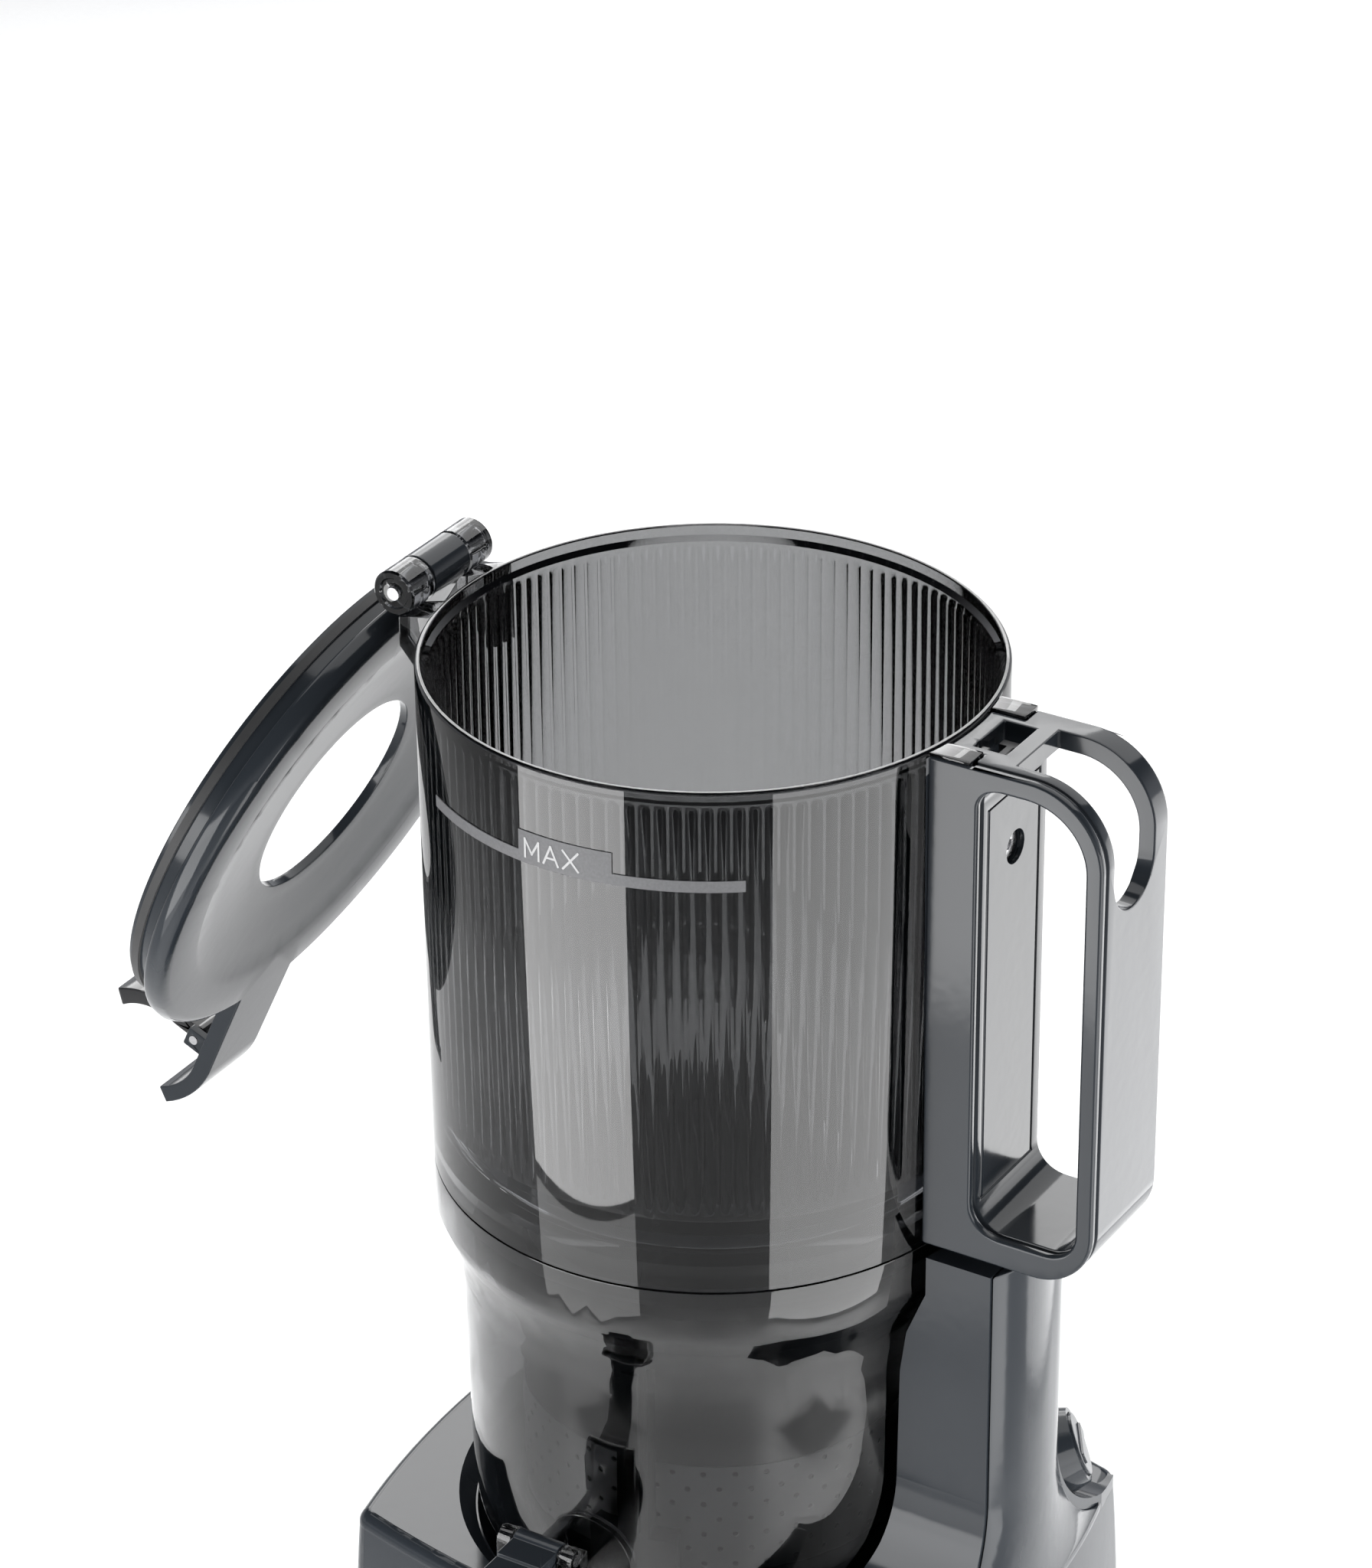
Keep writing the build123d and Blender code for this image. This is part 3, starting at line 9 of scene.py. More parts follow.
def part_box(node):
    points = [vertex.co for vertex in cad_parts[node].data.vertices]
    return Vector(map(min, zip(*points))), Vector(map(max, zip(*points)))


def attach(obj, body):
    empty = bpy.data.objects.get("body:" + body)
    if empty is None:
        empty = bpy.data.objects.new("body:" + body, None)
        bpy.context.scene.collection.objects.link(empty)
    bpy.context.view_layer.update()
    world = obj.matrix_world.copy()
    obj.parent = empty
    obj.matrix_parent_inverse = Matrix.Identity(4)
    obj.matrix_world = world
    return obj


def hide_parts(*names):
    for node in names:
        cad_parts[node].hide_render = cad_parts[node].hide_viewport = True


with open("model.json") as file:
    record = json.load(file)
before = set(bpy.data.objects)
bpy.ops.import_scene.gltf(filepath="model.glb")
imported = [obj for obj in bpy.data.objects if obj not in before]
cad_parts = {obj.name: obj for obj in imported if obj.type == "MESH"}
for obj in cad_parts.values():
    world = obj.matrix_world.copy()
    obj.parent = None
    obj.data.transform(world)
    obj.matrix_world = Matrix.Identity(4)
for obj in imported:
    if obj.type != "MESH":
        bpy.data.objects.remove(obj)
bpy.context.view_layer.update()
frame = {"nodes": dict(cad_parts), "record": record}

# ---------------------------------------------------------------------------
# Studio. The juicer stands on seamless pale paper. A camera on a long lens looks
# down on it from the front right, and paper-covered light boxes stand round it.
CAMERA_PLACE = Vector((0.6132, -1.0114, 1.0209))
CAMERA_TARGET = Vector((-0.0058, -0.00355, 0.3816))
CAMERA_ROLL = radians(-0.541)
CAMERA_LENS = 125.8
HORIZON = (0.93, 0.95, 1.0, 1.0)
CEILING = (0.055, 0.06, 0.07, 1.0)
HORIZON_END = 0.08         # the room darkens upward between these two heights
CEILING_START = 0.42
ROOM_LIGHT = 0.9
MIX_FROM, MIX_TO, MIX_RESULT = 6, 7, 2      # the colour sockets of a Mix node

scene = bpy.context.scene
scene.view_settings.view_transform = "Standard"

camera_data = bpy.data.cameras.new("camera")
camera_data.lens = CAMERA_LENS
camera_data.clip_end = 50
camera = bpy.data.objects.new("camera", camera_data)
scene.collection.objects.link(camera)
aim = (CAMERA_TARGET - CAMERA_PLACE).to_track_quat("-Z", "Y").to_matrix().to_4x4()
camera.matrix_world = Matrix.Translation(CAMERA_PLACE) @ aim @ Matrix.Rotation(CAMERA_ROLL, 4, "Z")
scene.camera = camera


def light_box(name, turn, distance, height, wide, tall, tilt, power):
    """A soft box standing at a turn round the object's axis, facing it."""
    data = bpy.data.lights.new(name, "AREA")
    data.shape = "RECTANGLE"
    data.size, data.size_y = wide, tall
    data.energy = power
    box = bpy.data.objects.new(name, data)
    place = Vector((distance * cos(radians(turn)), distance * sin(radians(turn)), height))
    facing = Vector((-cos(radians(turn)), -sin(radians(turn)), -tan(radians(tilt))))
    box.matrix_world = Matrix.Translation(place) @ facing.to_track_quat("-Z", "Y").to_matrix().to_4x4()
    box.visible_camera = False
    box.visible_transmission = False
    scene.collection.objects.link(box)


light_box("front_left_box", -108, 0.36, 0.27, 0.26, 0.28, 0, 1.5)
light_box("front_left_low_box", -108, 0.36, 0.065, 0.26, 0.11, 0, 0.18)
light_box("front_right_box", -17, 0.36, 0.20, 0.30, 0.38, 0, 1.5)
light_box("right_box", 46, 0.40, 0.20, 0.30, 0.38, 0, 1.2)
light_box("rear_left_box", 128, 1.3, 0.85, 1.0, 0.7, 30, 9)
light_box("top_box", 100, 0.9, 2.3, 3.2, 3.2, 68, 75)

world = bpy.data.worlds.new("room")
scene.world = world
world.use_nodes = True
sky = world.node_tree.nodes
wires = world.node_tree.links
facing = sky.new("ShaderNodeTexCoord")
height = sky.new("ShaderNodeSeparateXYZ")
fade = sky.new("ShaderNodeMapRange")
fade.interpolation_type = "SMOOTHSTEP"
fade.inputs["From Min"].default_value = HORIZON_END
fade.inputs["From Max"].default_value = CEILING_START
tint = sky.new("ShaderNodeMix")
tint.data_type = "RGBA"
tint.inputs[MIX_FROM].default_value = HORIZON
tint.inputs[MIX_TO].default_value = CEILING
wires.new(facing.outputs["Generated"], height.inputs["Vector"])
wires.new(height.outputs["Z"], fade.inputs["Value"])
wires.new(fade.outputs["Result"], tint.inputs["Factor"])
wires.new(tint.outputs[MIX_RESULT], sky["Background"].inputs["Color"])
sky["Background"].inputs["Strength"].default_value = ROOM_LIGHT

# ---------------------------------------------------------------------------
# Finishes. Each is a procedural material on one Principled shader. Its surface
# maths is written as plain arithmetic on the outputs of its nodes.


class Socket:
    """One output in a finish's node tree. Arithmetic on it adds Math nodes."""

    def __init__(self, finish, plug):
        self.finish = finish
        self.plug = plug

    def of(self, name):
        """Another output of the same node."""
        return Socket(self.finish, self.plug.node.outputs[name])

    def of_colour(self):
        """The colour output of a Mix node."""
        return Socket(self.finish, self.plug.node.outputs[MIX_RESULT])

    def maths(self, operation, a, b=0.0):
        return self.finish.node("ShaderNodeMath", {"operation": operation}, {0: a, 1: b})

    def __add__(self, other):
        return self.maths("ADD", self, other)

    __radd__ = __add__

    def __mul__(self, other):
        return self.maths("MULTIPLY", self, other)

    __rmul__ = __mul__

    def __sub__(self, other):
        return self.maths("SUBTRACT", self, other)

    def __rsub__(self, other):
        return self.maths("SUBTRACT", other, self)

    def over(self, other):
        return self.maths("GREATER_THAN", self, other)


class Finish:
    """A procedural material on one Principled shader."""

    def __init__(self, name, **uniform):
        self.material = bpy.data.materials.new(name)
        self.material.use_nodes = True
        self.tree = self.material.node_tree
        self.shader = self.tree.nodes["Principled BSDF"]
        for socket, value in uniform.items():
            self.shader.inputs[socket.replace("_", " ")].default_value = value

    def node(self, kind, settings=None, sockets=None):
        """Adds a node: its settings first, then the values or links of its sockets."""
        made = self.tree.nodes.new(kind)
        for key, value in (settings or {}).items():
            setattr(made, key, value)
        for key, value in (sockets or {}).items():
            self.feed(made.inputs[key], value)
        return Socket(self, next(plug for plug in made.outputs if plug.enabled))

    def feed(self, plug, value):
        if isinstance(value, Socket):
            self.tree.links.new(value.plug, plug)
        else:
            plug.default_value = value

    def set(self, **surface):
        for socket, value in surface.items():
            self.feed(self.shader.inputs[socket.replace("_", " ")], value)
        return self

    def place(self, stretch=(1, 1, 1)):
        """The object's own coordinates in metres, stretched."""
        where = self.node("ShaderNodeTexCoord").of("Object")
        return self.node("ShaderNodeMapping", {"vector_type": "POINT"}, {"Vector": where, "Scale": stretch})

    def noise(self, scale, detail=3.0, stretch=(1, 1, 1)):
        """Cloudy noise between 0 and 1."""
        return self.node("ShaderNodeTexNoise", None,
                         {"Vector": self.place(stretch), "Scale": scale, "Detail": detail})

    def shades(self, mask, dark, light):
        """A colour between two, by a mask."""
        return self.node("ShaderNodeMix", {"data_type": "RGBA"},
                         {"Factor": mask, MIX_FROM: (*dark, 1.0), MIX_TO: (*light, 1.0)}).of_colour()

    def bump(self, height, depth):
        """A relief of the given depth in metres."""
        return self.node("ShaderNodeBump", None, {"Height": height, "Distance": depth, "Strength": 1.0})


def paper():
    """Matt white seamless paper with the faintest fibre."""
    finish = Finish("paper", Roughness=0.9)
    fibre = finish.noise(300, 4)
    tone = finish.shades(fibre, (0.90, 0.90, 0.90), (0.94, 0.94, 0.94))
    return finish.set(Base_Color=tone, Normal=finish.bump(fibre, 0.0001)).material


floor_mesh = bpy.data.meshes.new("floor")
FLOOR_HALF = 6.0
FLOOR_DROP = 0.0002        # the paper lies just under the rubber feet
corners = [(-FLOOR_HALF, -FLOOR_HALF, 0), (FLOOR_HALF, -FLOOR_HALF, 0),
           (FLOOR_HALF, FLOOR_HALF, 0), (-FLOOR_HALF, FLOOR_HALF, 0)]
floor_mesh.from_pydata(corners, [], [(0, 1, 2, 3)])
floor_mesh.materials.append(paper())
floor = bpy.data.objects.new("floor", floor_mesh)
floor.location.z = -FLOOR_DROP
scene.collection.objects.link(floor)

# ---------------------------------------------------------------------------
# Feet, bottom cover and its screws. Five moulded rubber pads are pressed into a
# ribbed black floor plate, which four self-tapping screws hold to the case.
SHARP = radians(35)
WELD = 2e-6


def plain(node, material):
    """A piece whose designed shape is right as it is; only its finish is set."""
    piece = frame["nodes"][node]
    piece.data.materials.clear()
    piece.data.materials.append(material)


def shaded(bm, name, material):
    """A mesh object from a bmesh, smooth but for its sharp edges."""
    for face in bm.faces:
        face.smooth = True
    for edge in bm.edges:
        edge.smooth = len(edge.link_faces) != 2 or edge.calc_face_angle(0.0) < SHARP
    mesh = bpy.data.meshes.new(name)
    bm.to_mesh(mesh)
    bm.free()
    mesh.materials.append(material)
    piece = bpy.data.objects.new(name, mesh)
    scene.collection.objects.link(piece)
    return piece


def body_of(node):
    """The moving body that a node belongs to."""
    return next(body for body, nodes in frame["record"]["behaviour"]["bodies"].items() if node in nodes)


def rounded(node, material, radius, steps=2):
    """The designed piece with the small radius that its mould gives each edge."""
    bm = bmesh.new()
    bm.from_mesh(frame["nodes"][node].data)
    bmesh.ops.remove_doubles(bm, verts=bm.verts, dist=WELD)
    crisp = [e for e in bm.edges if len(e.link_faces) == 2 and e.calc_face_angle(0.0) > SHARP]
    bmesh.ops.bevel(bm, geom=crisp, offset=radius, offset_type="OFFSET", segments=steps,
                    profile=0.5, affect="EDGES", clamp_overlap=False, loop_slide=True)
    piece = shaded(bm, node + "_piece", material)
    even = piece.modifiers.new("even_light", "WEIGHTED_NORMAL")
    even.keep_sharp = True
    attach(piece, body_of(node))
    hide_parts(node)


def rubber():
    """Black rubber, matt, with a fine moulded grain and a little dust."""
    finish = Finish("rubber", Specular_IOR_Level=0.35)
    grain = finish.noise(2600, 2)
    dust = finish.noise(90, 5)
    tone = finish.shades(dust, (0.014, 0.014, 0.014), (0.030, 0.029, 0.028))
    return finish.set(Base_Color=tone, Roughness=0.62 + dust * 0.2,
                      Normal=finish.bump(grain, 0.00006)).material


def moulded_black():
    """Black plastic with the spark-eroded texture of its mould."""
    finish = Finish("moulded_black", Specular_IOR_Level=0.45)
    grain = finish.noise(1900, 3)
    wear = finish.noise(55, 4)
    tone = finish.shades(wear, (0.011, 0.011, 0.012), (0.018, 0.018, 0.019))
    return finish.set(Base_Color=tone, Roughness=0.38 + wear * 0.14,
                      Normal=finish.bump(grain, 0.00004)).material


def turned_steel():
    """Bright steel with the fine rings that the lathe leaves."""
    finish = Finish("turned_steel", Metallic=1.0)
    rings = finish.noise(900, 2, stretch=(1, 1, 9))
    tone = finish.shades(rings, (0.52, 0.52, 0.53), (0.68, 0.68, 0.69))
    return finish.set(Base_Color=tone, Roughness=0.18 + rings * 0.16,
                      Normal=finish.bump(rings, 0.00001)).material


RUBBER = rubber()
MOULDED_BLACK = moulded_black()
STEEL = turned_steel()
plain("feet", RUBBER)
plain("bottom_cover", MOULDED_BLACK)
plain("cover_screws", STEEL)

# ---------------------------------------------------------------------------
# Motor case. The lower case, the deck on top of it and the tower are high-gloss
# ABS mouldings in gunmetal grey, snapped together along fine joint lines.


def gunmetal():
    """High-gloss gunmetal plastic: near-mirror, with faint orange peel and finger marks."""
    finish = Finish("gunmetal_gloss", Specular_IOR_Level=0.30)
    mottle = finish.noise(34, 4)
    peel = finish.noise(240, 1)
    smear = finish.noise(22, 3, stretch=(1, 1, 0.35))
    speck = finish.noise(5200, 1).over(0.74)
    tone = finish.shades(mottle, (0.016, 0.019, 0.023), (0.022, 0.026, 0.031))
    return finish.set(Base_Color=tone, Roughness=0.085 + smear * 0.07 + speck * 0.1,
                      Normal=finish.bump(peel, 0.00002)).material


GUNMETAL = gunmetal()
plain("lower_case", GUNMETAL)
plain("top_cover", GUNMETAL)
rounded("tower_shell", GUNMETAL, 0.0006)

# ---------------------------------------------------------------------------
# Control panel. A glossier inset on the front of the case holds the start
# and the reverse button, each a satin cap in its own round opening.


def panel_gloss():
    """Dark grey plastic with a deep gloss and faint finger marks."""
    finish = Finish("panel_gloss", Specular_IOR_Level=0.6)
    mottle = finish.noise(30, 3)
    smear = finish.noise(25, 3, stretch=(1, 1, 0.3))
    tone = finish.shades(mottle, (0.020, 0.023, 0.026), (0.027, 0.030, 0.034))
    return finish.set(Base_Color=tone, Roughness=0.07 + smear * 0.06).material


def satin_grey():
    """Mid-grey plastic with a satin face, rubbed a little by fingers."""
    finish = Finish("satin_grey", Specular_IOR_Level=0.5)
    grain = finish.noise(1500, 2)
    rub = finish.noise(60, 3)
    tone = finish.shades(rub, (0.085, 0.092, 0.10), (0.11, 0.118, 0.128))
    return finish.set(Base_Color=tone, Roughness=0.26 + rub * 0.12,
                      Normal=finish.bump(grain, 0.00002)).material


PANEL_GLOSS = panel_gloss()
SATIN_GREY = satin_grey()
rounded("control_panel", PANEL_GLOSS, 0.0005)
rounded("start_button", SATIN_GREY, 0.0002)
rounded("reverse_button", SATIN_GREY, 0.0002)

# ---------------------------------------------------------------------------
# Mode dial. A gunmetal disc with a low grip bar, sunk in the end of the round
# shoulder behind the tower; its stem turns a rotary switch.
rounded("mode_dial", GUNMETAL, 0.0003)

# ---------------------------------------------------------------------------
# Inlet, switch and board. The appliance inlet in the back of the case is black
# moulded plastic; the interlock switch is in the head of the tower, and the
# green board lies behind the panel.


def white_acetal():
    """Natural acetal, slightly waxy, with flow marks."""
    finish = Finish("white_acetal", Specular_IOR_Level=0.45)
    flow = finish.noise(70, 4, stretch=(1, 1, 3))
    tone = finish.shades(flow, (0.68, 0.67, 0.62), (0.78, 0.77, 0.73))
    return finish.set(Base_Color=tone, Roughness=0.32 + flow * 0.1).material


def circuit_green():
    """Green solder mask over copper tracks."""
    finish = Finish("circuit_green", Specular_IOR_Level=0.5)
    tracks = finish.node("ShaderNodeTexVoronoi", {"feature": "DISTANCE_TO_EDGE"},
                         {"Vector": finish.place(), "Scale": 420.0})
    edge = tracks.over(0.09)
    tone = finish.shades(edge, (0.10, 0.22, 0.09), (0.012, 0.09, 0.035))
    return finish.set(Base_Color=tone, Roughness=0.34, Normal=finish.bump(edge, 0.00003)).material


ACETAL = white_acetal()
plain("power_inlet", MOULDED_BLACK)
plain("interlock_switch", MOULDED_BLACK)
plain("circuit_board", circuit_green())
plain("switch_plunger", ACETAL)

# ---------------------------------------------------------------------------
# Drive. A motor in a zinc-plated can stands on a rubber mount, and a gearbox of
# glass-filled nylon brings its speed down to that of the drive shaft's hexagon.


def zinc_plate():
    """Zinc plate with soft crystalline mottling."""
    finish = Finish("zinc_plate", Metallic=1.0)
    spangle = finish.node("ShaderNodeTexVoronoi", {"feature": "F1"},
                          {"Vector": finish.place(), "Scale": 260.0}).of("Color")
    cloud = finish.noise(60, 4)
    tone = finish.shades(cloud, (0.38, 0.39, 0.40), (0.52, 0.53, 0.54))
    return finish.set(Base_Color=tone, Roughness=0.30 + cloud * 0.2,
                      Normal=finish.bump(spangle, 0.00001)).material


def enamelled_copper():
    """Turns of enamelled wire laid side by side."""
    finish = Finish("enamelled_copper", Metallic=0.9)
    turns = finish.node("ShaderNodeTexWave", {"wave_type": "BANDS", "bands_direction": "Z"},
                        {"Vector": finish.place(), "Scale": 360.0, "Distortion": 1.5})
    tone = finish.shades(turns, (0.20, 0.07, 0.03), (0.62, 0.27, 0.12))
    return finish.set(Base_Color=tone, Roughness=0.28, Normal=finish.bump(turns, 0.0002)).material


def sintered_bronze():
    """Oil-soaked sintered bronze with open pores."""
    finish = Finish("sintered_bronze", Metallic=1.0)
    pores = finish.noise(3200, 2)
    tone = finish.shades(pores, (0.34, 0.22, 0.09), (0.60, 0.43, 0.20))
    return finish.set(Base_Color=tone, Roughness=0.35 + pores * 0.2,
                      Normal=finish.bump(pores, 0.00003)).material


def grey_nylon():
    """Glass-filled nylon with a fibrous, slightly blotched surface."""
    finish = Finish("grey_nylon", Specular_IOR_Level=0.4)
    fibre = finish.noise(700, 3, stretch=(1, 1, 0.25))
    tone = finish.shades(fibre, (0.19, 0.20, 0.21), (0.27, 0.28, 0.29))
    return finish.set(Base_Color=tone, Roughness=0.48 + fibre * 0.15,
                      Normal=finish.bump(fibre, 0.00004)).material


BRONZE = sintered_bronze()
GREY_NYLON = grey_nylon()
plain("motor_can", zinc_plate())
plain("motor_stator", enamelled_copper())
plain("motor_bearings", BRONZE)
plain("motor_rotor", STEEL)
plain("motor_mount", RUBBER)
plain("gear_case", GREY_NYLON)
plain("gear_case_lid", GREY_NYLON)
plain("layshaft_axle", STEEL)
plain("layshaft_gear", ACETAL)
plain("drive_bush", BRONZE)
plain("drive_seal", RUBBER)
rounded("drive_shaft", STEEL, 0.0002)

# ---------------------------------------------------------------------------
# Bowl. Smoke-tinted clear copolyester, moulded in one piece with its juice spout
# and pulp chute; the floor carries the hub, the idler's pin and a soft ring.


def smoke_clear():
    """Polished smoke-grey clear plastic; each wall takes about three quarters of the light."""
    finish = Finish("smoke_clear", Transmission_Weight=1.0, IOR=1.5)
    haze = finish.noise(18, 3, stretch=(1, 1, 0.4))
    tone = finish.shades(haze, (0.21, 0.212, 0.215), (0.25, 0.252, 0.255))
    return finish.set(Base_Color=tone, Roughness=0.012 + haze * 0.02).material


def silicone():
    """Black food-grade silicone with a soft sheen and settled dust."""
    finish = Finish("silicone", Specular_IOR_Level=0.4, Sheen_Weight=0.15)
    dust = finish.noise(140, 4)
    tone = finish.shades(dust, (0.012, 0.012, 0.013), (0.024, 0.024, 0.024))
    return finish.set(Base_Color=tone, Roughness=0.48 + dust * 0.16).material


SMOKE = smoke_clear()
SILICONE = silicone()
rounded("bowl", SMOKE, 0.0003)
plain("bowl_gasket", SILICONE)
plain("hub_bush", ACETAL)
plain("idler_axle", STEEL)
plain("idler_gear", ACETAL)
plain("cap_pin", STEEL)
plain("pulp_plug", SILICONE)
rounded("spout_cap", GUNMETAL, 0.0003)

# ---------------------------------------------------------------------------
# Strainer, wiper and auger. A black moulded basket with a punched steel sleeve
# turns the juice out; the geared wiper sweeps round it and the auger presses.


def punched_steel():
    """Stainless sheet with the grain of its rolling running round the sleeve."""
    finish = Finish("punched_steel", Metallic=1.0)
    grain = finish.noise(500, 3, stretch=(1, 1, 12))
    tone = finish.shades(grain, (0.26, 0.26, 0.27), (0.40, 0.40, 0.41))
    return finish.set(Base_Color=tone, Roughness=0.26 + grain * 0.18).material


def filled_black():
    """Black glass-filled plastic, scuffed along the flight by hard food."""
    finish = Finish("filled_black", Specular_IOR_Level=0.5)
    grain = finish.noise(1200, 3)
    scuff = finish.noise(110, 5, stretch=(1, 1, 4))
    tone = finish.shades(scuff, (0.012, 0.012, 0.013), (0.026, 0.026, 0.027))
    return finish.set(Base_Color=tone, Roughness=0.3 + scuff * 0.2,
                      Normal=finish.bump(grain, 0.00003)).material


FILLED_BLACK = filled_black()
plain("strainer", MOULDED_BLACK)
plain("strainer_mesh", punched_steel())
plain("wiper_carrier", MOULDED_BLACK)
plain("wiper_blades", SILICONE)
plain("auger", FILLED_BLACK)
plain("drive_socket", STEEL)
plain("feed_blade", FILLED_BLACK)

# ---------------------------------------------------------------------------
# Hopper. The same smoke-clear plastic; fine upright flutes run round its inside
# wall, and its hinge knuckles, webs and handle ears are moulded on outside.
RIM_OVER_HANDLE = 0.001
HOPPER_HEIGHT = 0.1383
RIM_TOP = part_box("handle_frame")[1].z + RIM_OVER_HANDLE
SEAM = RIM_TOP - HOPPER_HEIGHT
OUTER_R = 0.0725
FOOT_R = 0.0717
WALL = 0.0026
THROAT_R = 0.044           # round opening in the funnel's floor
FLOOR_HIGH = 0.009         # funnel floor's upper and under side, above the seam
FLOOR_LOW = 0.0055
SPIGOT_R = FOOT_R - WALL   # the spigot stands a little inside the bowl
SPIGOT_DROP = 0.006
SEAT = 0.0016              # step inside the rim that the lid's plug ring rests in
BREAK = 0.0003             # broken edges
FLUTES = 120
FLUTE_DEPTH = 0.00055
FLUTE_TOP = RIM_TOP - 0.0056
FLUTE_FOOT = RIM_TOP - 0.118
FLUTE_SHAPE = [(0.0, 1.0), (0.28, 1.0), (0.40, 0.0), (0.60, 0.0), (0.72, 1.0)]


def taper(z):
    """Outside radius of the hopper at a height."""
    return FOOT_R + (OUTER_R - FOOT_R) * (z - SEAM) / (RIM_TOP - SEAM)


def hopper_body():
    """Closed wall, turned from its outline, with the flutes raised on the inside."""
    inner = [
        (taper(RIM_TOP) - 0.0014, RIM_TOP - 0.00005, 0), (taper(RIM_TOP) - SEAT, RIM_TOP - BREAK, 0),
        (taper(RIM_TOP) - SEAT, RIM_TOP - 0.0028, 0), (taper(RIM_TOP) - 0.0019, RIM_TOP - 0.0032, 0),
        (taper(FLUTE_TOP) - WALL, RIM_TOP - 0.0042, 0),
        (taper(FLUTE_TOP) - WALL, FLUTE_TOP, 0), (taper(FLUTE_TOP) - WALL, FLUTE_TOP - 0.0009, 1),
        (taper(FLUTE_FOOT) - WALL, FLUTE_FOOT + 0.0012, 1), (taper(FLUTE_FOOT) - WALL, FLUTE_FOOT, 0),
        (SPIGOT_R, SEAM + 0.0195, 0), (THROAT_R + 0.0025, SEAM + FLOOR_HIGH + 0.0002, 0),
        (THROAT_R + 0.0002, SEAM + FLOOR_HIGH, 0), (THROAT_R, SEAM + FLOOR_HIGH - 0.0002, 0),
        (THROAT_R, SEAM + FLOOR_LOW + 0.0002, 0), (THROAT_R + 0.0002, SEAM + FLOOR_LOW, 0),
        (SPIGOT_R - 0.003, SEAM + FLOOR_LOW, 0), (SPIGOT_R - 0.003, SEAM - SPIGOT_DROP, 0),
        (SPIGOT_R - 0.0006, SEAM - SPIGOT_DROP, 0), (SPIGOT_R - 0.0006, SEAM, 0),
    ]
    outer = [
        (FOOT_R - BREAK, SEAM, 0), (FOOT_R, SEAM + BREAK, 0),
        (taper(RIM_TOP) - 0.00005, RIM_TOP - 0.0009, 0), (taper(RIM_TOP) - BREAK, RIM_TOP - BREAK, 0),
        (taper(RIM_TOP) - 0.0007, RIM_TOP, 0), (taper(RIM_TOP) - 0.0012, RIM_TOP, 0),
    ]
    outline = inner + outer
    turns = [(k + share, height) for k in range(FLUTES) for share, height in FLUTE_SHAPE]
    bm = bmesh.new()
    columns = []
    for place, height in turns:
        turn = 2 * pi * place / FLUTES
        columns.append([bm.verts.new(((r - FLUTE_DEPTH * height * fluted) * cos(turn),
                                      (r - FLUTE_DEPTH * height * fluted) * sin(turn), z))
                        for r, z, fluted in outline])
    rows = len(outline)
    for here, there in zip(columns, columns[1:] + columns[:1]):
        for k in range(rows):
            up = (k + 1) % rows
            bm.faces.new((here[k], there[k], there[up], here[up]))
    bmesh.ops.recalc_face_normals(bm, faces=bm.faces)
    return bm


hopper = shaded(hopper_body(), "hopper_piece", SMOKE)
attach(hopper, "hopper")
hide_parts("hopper")

# ---------------------------------------------------------------------------
# Hopper fittings. Two hinge knuckles on webs stand out on the left of the rim,
# and two square ears on its right key into the top of the handle.
HINGE_LOW, HINGE_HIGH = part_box("hinge_pin")
HINGE_X = (HINGE_LOW.x + HINGE_HIGH.x) / 2
HINGE_Z = (HINGE_LOW.z + HINGE_HIGH.z) / 2
PIN_SHOWS = 0.0003
HINGE_HALF = HINGE_HIGH.y - PIN_SHOWS
PIN_R = (HINGE_HIGH.x - HINGE_LOW.x) / 2
PIN_PLAY = 0.0001
KNUCKLE_R = 0.006
KNUCKLE_SPLIT = 0.008
KNUCKLE_LIP = 0.0005
HOLLOW_R = 0.0042          # shallow round recess in each knuckle's end
WEB_X = HINGE_X + 0.0012
EAR_END = 0.081
EAR_TOP = RIM_TOP - 0.0002
EAR_FOOT = RIM_TOP - 0.0050
EAR_NEAR, EAR_FAR = 0.0102, 0.0170      # the ears stand either side of the handle's middle
EAR_MIDDLE = -0.0015
STAND_OFF = 0.00008        # hairline between a fitting and the wall
WALL_SLICES = 6


def against_wall(bm, y0, y1, outline, side):
    """A closed block whose inner end follows the round wall; None in the outline means the wall."""
    slices = []
    for k in range(WALL_SLICES + 1):
        y = y0 + (y1 - y0) * k / WALL_SLICES
        wall_x = side * sqrt((OUTER_R + STAND_OFF) ** 2 - y * y)
        slices.append([bm.verts.new((wall_x if x is None else x, y, z)) for x, z in outline])
    for here, there in zip(slices, slices[1:]):
        for k in range(len(outline)):
            bm.faces.new((here[k - 1], here[k], there[k], there[k - 1]))
    bm.faces.new(slices[0])
    bm.faces.new(slices[-1])


def ring_along_y(bm, outline, x, z, steps=48):
    """A ring turned about a line along Y from its (radius, y) outline."""
    spokes = []
    for k in range(steps):
        turn = 2 * pi * k / steps
        spokes.append([bm.verts.new((x + r * cos(turn), y, z + r * sin(turn))) for r, y in outline])
    for here, there in zip(spokes, spokes[1:] + spokes[:1]):
        for k in range(len(outline)):
            bm.faces.new((here[k - 1], here[k], there[k], there[k - 1]))


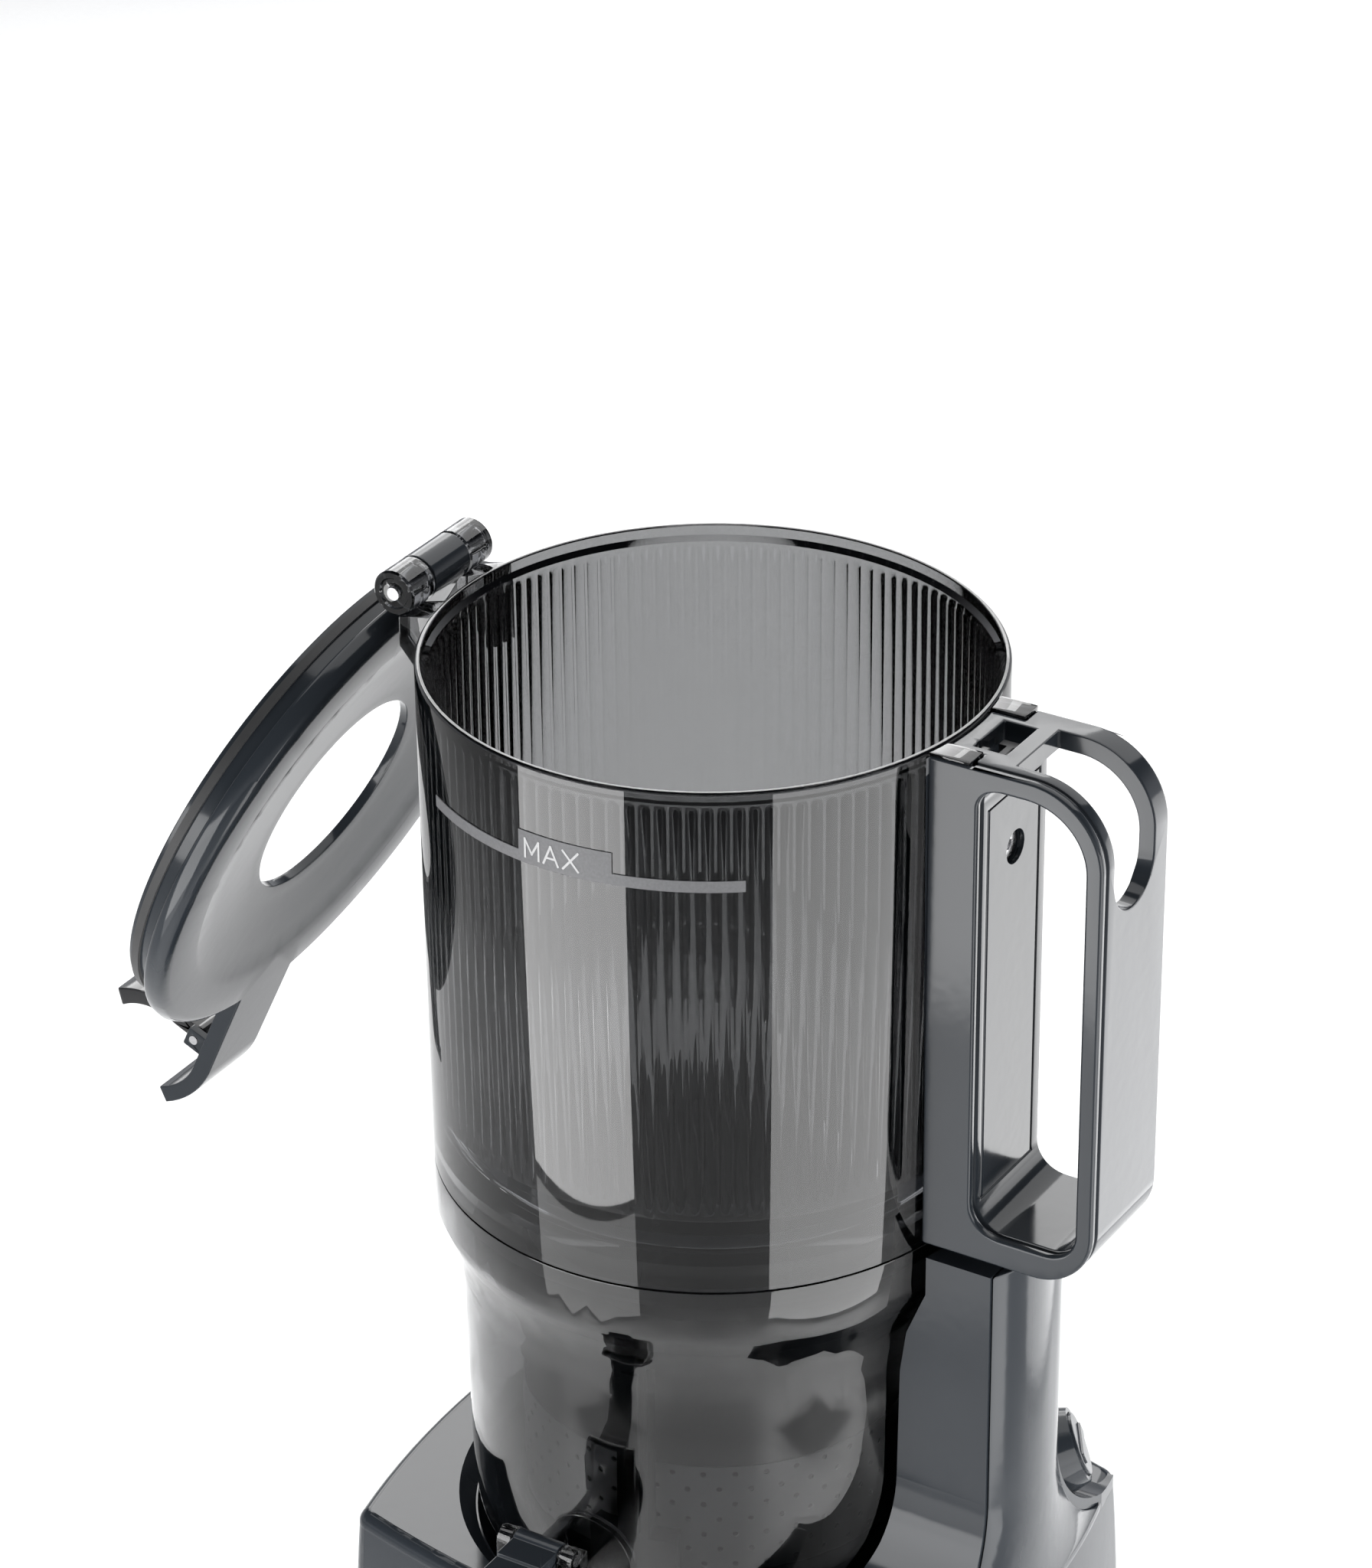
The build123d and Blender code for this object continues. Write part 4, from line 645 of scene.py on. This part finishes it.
def hopper_fittings():
    """The hinge knuckles with their webs, and the two ears."""
    bm = bmesh.new()
    for side in (-1, 1):
        near, far = side * KNUCKLE_SPLIT, side * HINGE_HALF
        lip = side * KNUCKLE_LIP
        knuckle = [(PIN_R + PIN_PLAY, near), (KNUCKLE_R - KNUCKLE_LIP, near), (KNUCKLE_R, near + lip),
                   (KNUCKLE_R, far - lip), (KNUCKLE_R - KNUCKLE_LIP, far), (HOLLOW_R, far),
                   (HOLLOW_R - 0.0004, far - lip), (PIN_R + PIN_PLAY, far - lip)]
        ring_along_y(bm, knuckle, HINGE_X, HINGE_Z)
        web = [(WEB_X, RIM_TOP - 0.0030), (None, RIM_TOP - 0.0008), (None, RIM_TOP - 0.022),
               (WEB_X, RIM_TOP - 0.011)]
        against_wall(bm, near, far, web, -1)
        y0, y1 = sorted((side * EAR_NEAR + EAR_MIDDLE, side * EAR_FAR + EAR_MIDDLE))
        ear = [(None, EAR_TOP), (EAR_END, EAR_TOP), (EAR_END, EAR_FOOT), (None, EAR_FOOT)]
        against_wall(bm, y0, y1, ear, 1)
    bmesh.ops.recalc_face_normals(bm, faces=bm.faces)
    crisp = [e for e in bm.edges if e.calc_face_angle(0.0) > radians(60)]
    bmesh.ops.bevel(bm, geom=crisp, offset=BREAK, segments=2, profile=0.5, affect="EDGES")
    return bm


fittings = shaded(hopper_fittings(), "hopper_fittings", SMOKE)
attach(fittings, "hopper")
plain("hinge_pin", STEEL)

# ---------------------------------------------------------------------------
# Fill line. A band of translucent light-grey ink is printed on the front of the
# hopper, with a flag whose letters are left in a lighter ink.


def screen_ink(name, dark, light, cover):
    """Thin printed ink that the wall shows through a little."""
    finish = Finish(name, Specular_IOR_Level=0.3, Roughness=0.5)
    weave = finish.noise(1400, 2)
    tone = finish.shades(weave, dark, light)
    return finish.set(Base_Color=tone, Alpha=cover + weave * 0.1).material


INK = screen_ink("print_ink", (0.13, 0.13, 0.135), (0.17, 0.17, 0.175), 0.72)
INK_LIGHT = screen_ink("print_light", (0.42, 0.42, 0.42), (0.50, 0.50, 0.50), 0.85)
plain("max_mark", INK)
MARK_R = OUTER_R + 0.00029
INK_THICK = 0.00004
LETTER_H = 0.0048
LETTER_W = 0.0040
LETTER_GAP = 0.0014
LETTER_STROKE = 0.00055
LETTER_FOOT = RIM_TOP - 0.0243
LETTERS_START = radians(-96.4)
LETTERS = {
    "M": [((0, 0), (0, 1)), ((0, 1), (0.5, 0.25)), ((0.5, 0.25), (1, 1)), ((1, 1), (1, 0))],
    "A": [((0, 0), (0.5, 1)), ((0.5, 1), (1, 0)), ((0.2, 0.34), (0.8, 0.34))],
    "X": [((0, 0), (1, 1)), ((0, 1), (1, 0))],
}


def mark_letters():
    """Flat strokes laid on the round wall."""
    bm = bmesh.new()
    for place, letter in enumerate("MAX"):
        start = place * (LETTER_W + LETTER_GAP)
        for a, b in LETTERS[letter]:
            p = Vector((start + a[0] * LETTER_W, a[1] * LETTER_H))
            q = Vector((start + b[0] * LETTER_W, b[1] * LETTER_H))
            along = (q - p).normalized() * LETTER_STROKE / 2
            across = Vector((-along.y, along.x))
            ring = [p - along - across, q + along - across, q + along + across, p - along + across]
            corners = []
            for lift in (0, INK_THICK):
                for spot in ring:
                    turn = LETTERS_START + spot.x / MARK_R
                    r = MARK_R + lift
                    corners.append(bm.verts.new((r * cos(turn), r * sin(turn), LETTER_FOOT + spot.y)))
            low, high = corners[:4], corners[4:]
            bm.faces.new(low)
            bm.faces.new(high)
            for k in range(4):
                bm.faces.new((low[k - 1], low[k], high[k], high[k - 1]))
    bmesh.ops.recalc_face_normals(bm, faces=bm.faces)
    return bm


letters = shaded(mark_letters(), "mark_letters", INK_LIGHT)
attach(letters, "hopper")

# ---------------------------------------------------------------------------
# Handle. The loop is two gunmetal mouldings, a front plate with a polished
# chamfer and the frame behind it; a screw goes through its liner to the hopper.
rounded("handle_front_plate", GUNMETAL, 0.0008, 3)
rounded("handle_frame", GUNMETAL, 0.0005)
rounded("handle_liner", GUNMETAL, 0.0002)
plain("handle_screw", STEEL)
rounded("interlock_rod", MOULDED_BLACK, 0.0002)

# ---------------------------------------------------------------------------
# Lid. A gunmetal disc with a dished top, a feed hole and a plug ring; its lever
# tail lies over the handle's arch and carries the trigger.


def gloss_black():
    """Polished black plastic with finger smears."""
    finish = Finish("gloss_black", Specular_IOR_Level=0.6)
    smear = finish.noise(40, 3)
    tone = finish.shades(smear, (0.006, 0.006, 0.007), (0.011, 0.011, 0.012))
    return finish.set(Base_Color=tone, Roughness=0.07 + smear * 0.08).material


GLOSS_BLACK = gloss_black()
rounded("lid", GUNMETAL, 0.0004)
plain("lid_seal", SILICONE)
plain("trigger_pin", STEEL)
rounded("latch_trigger", GLOSS_BLACK, 0.0006)
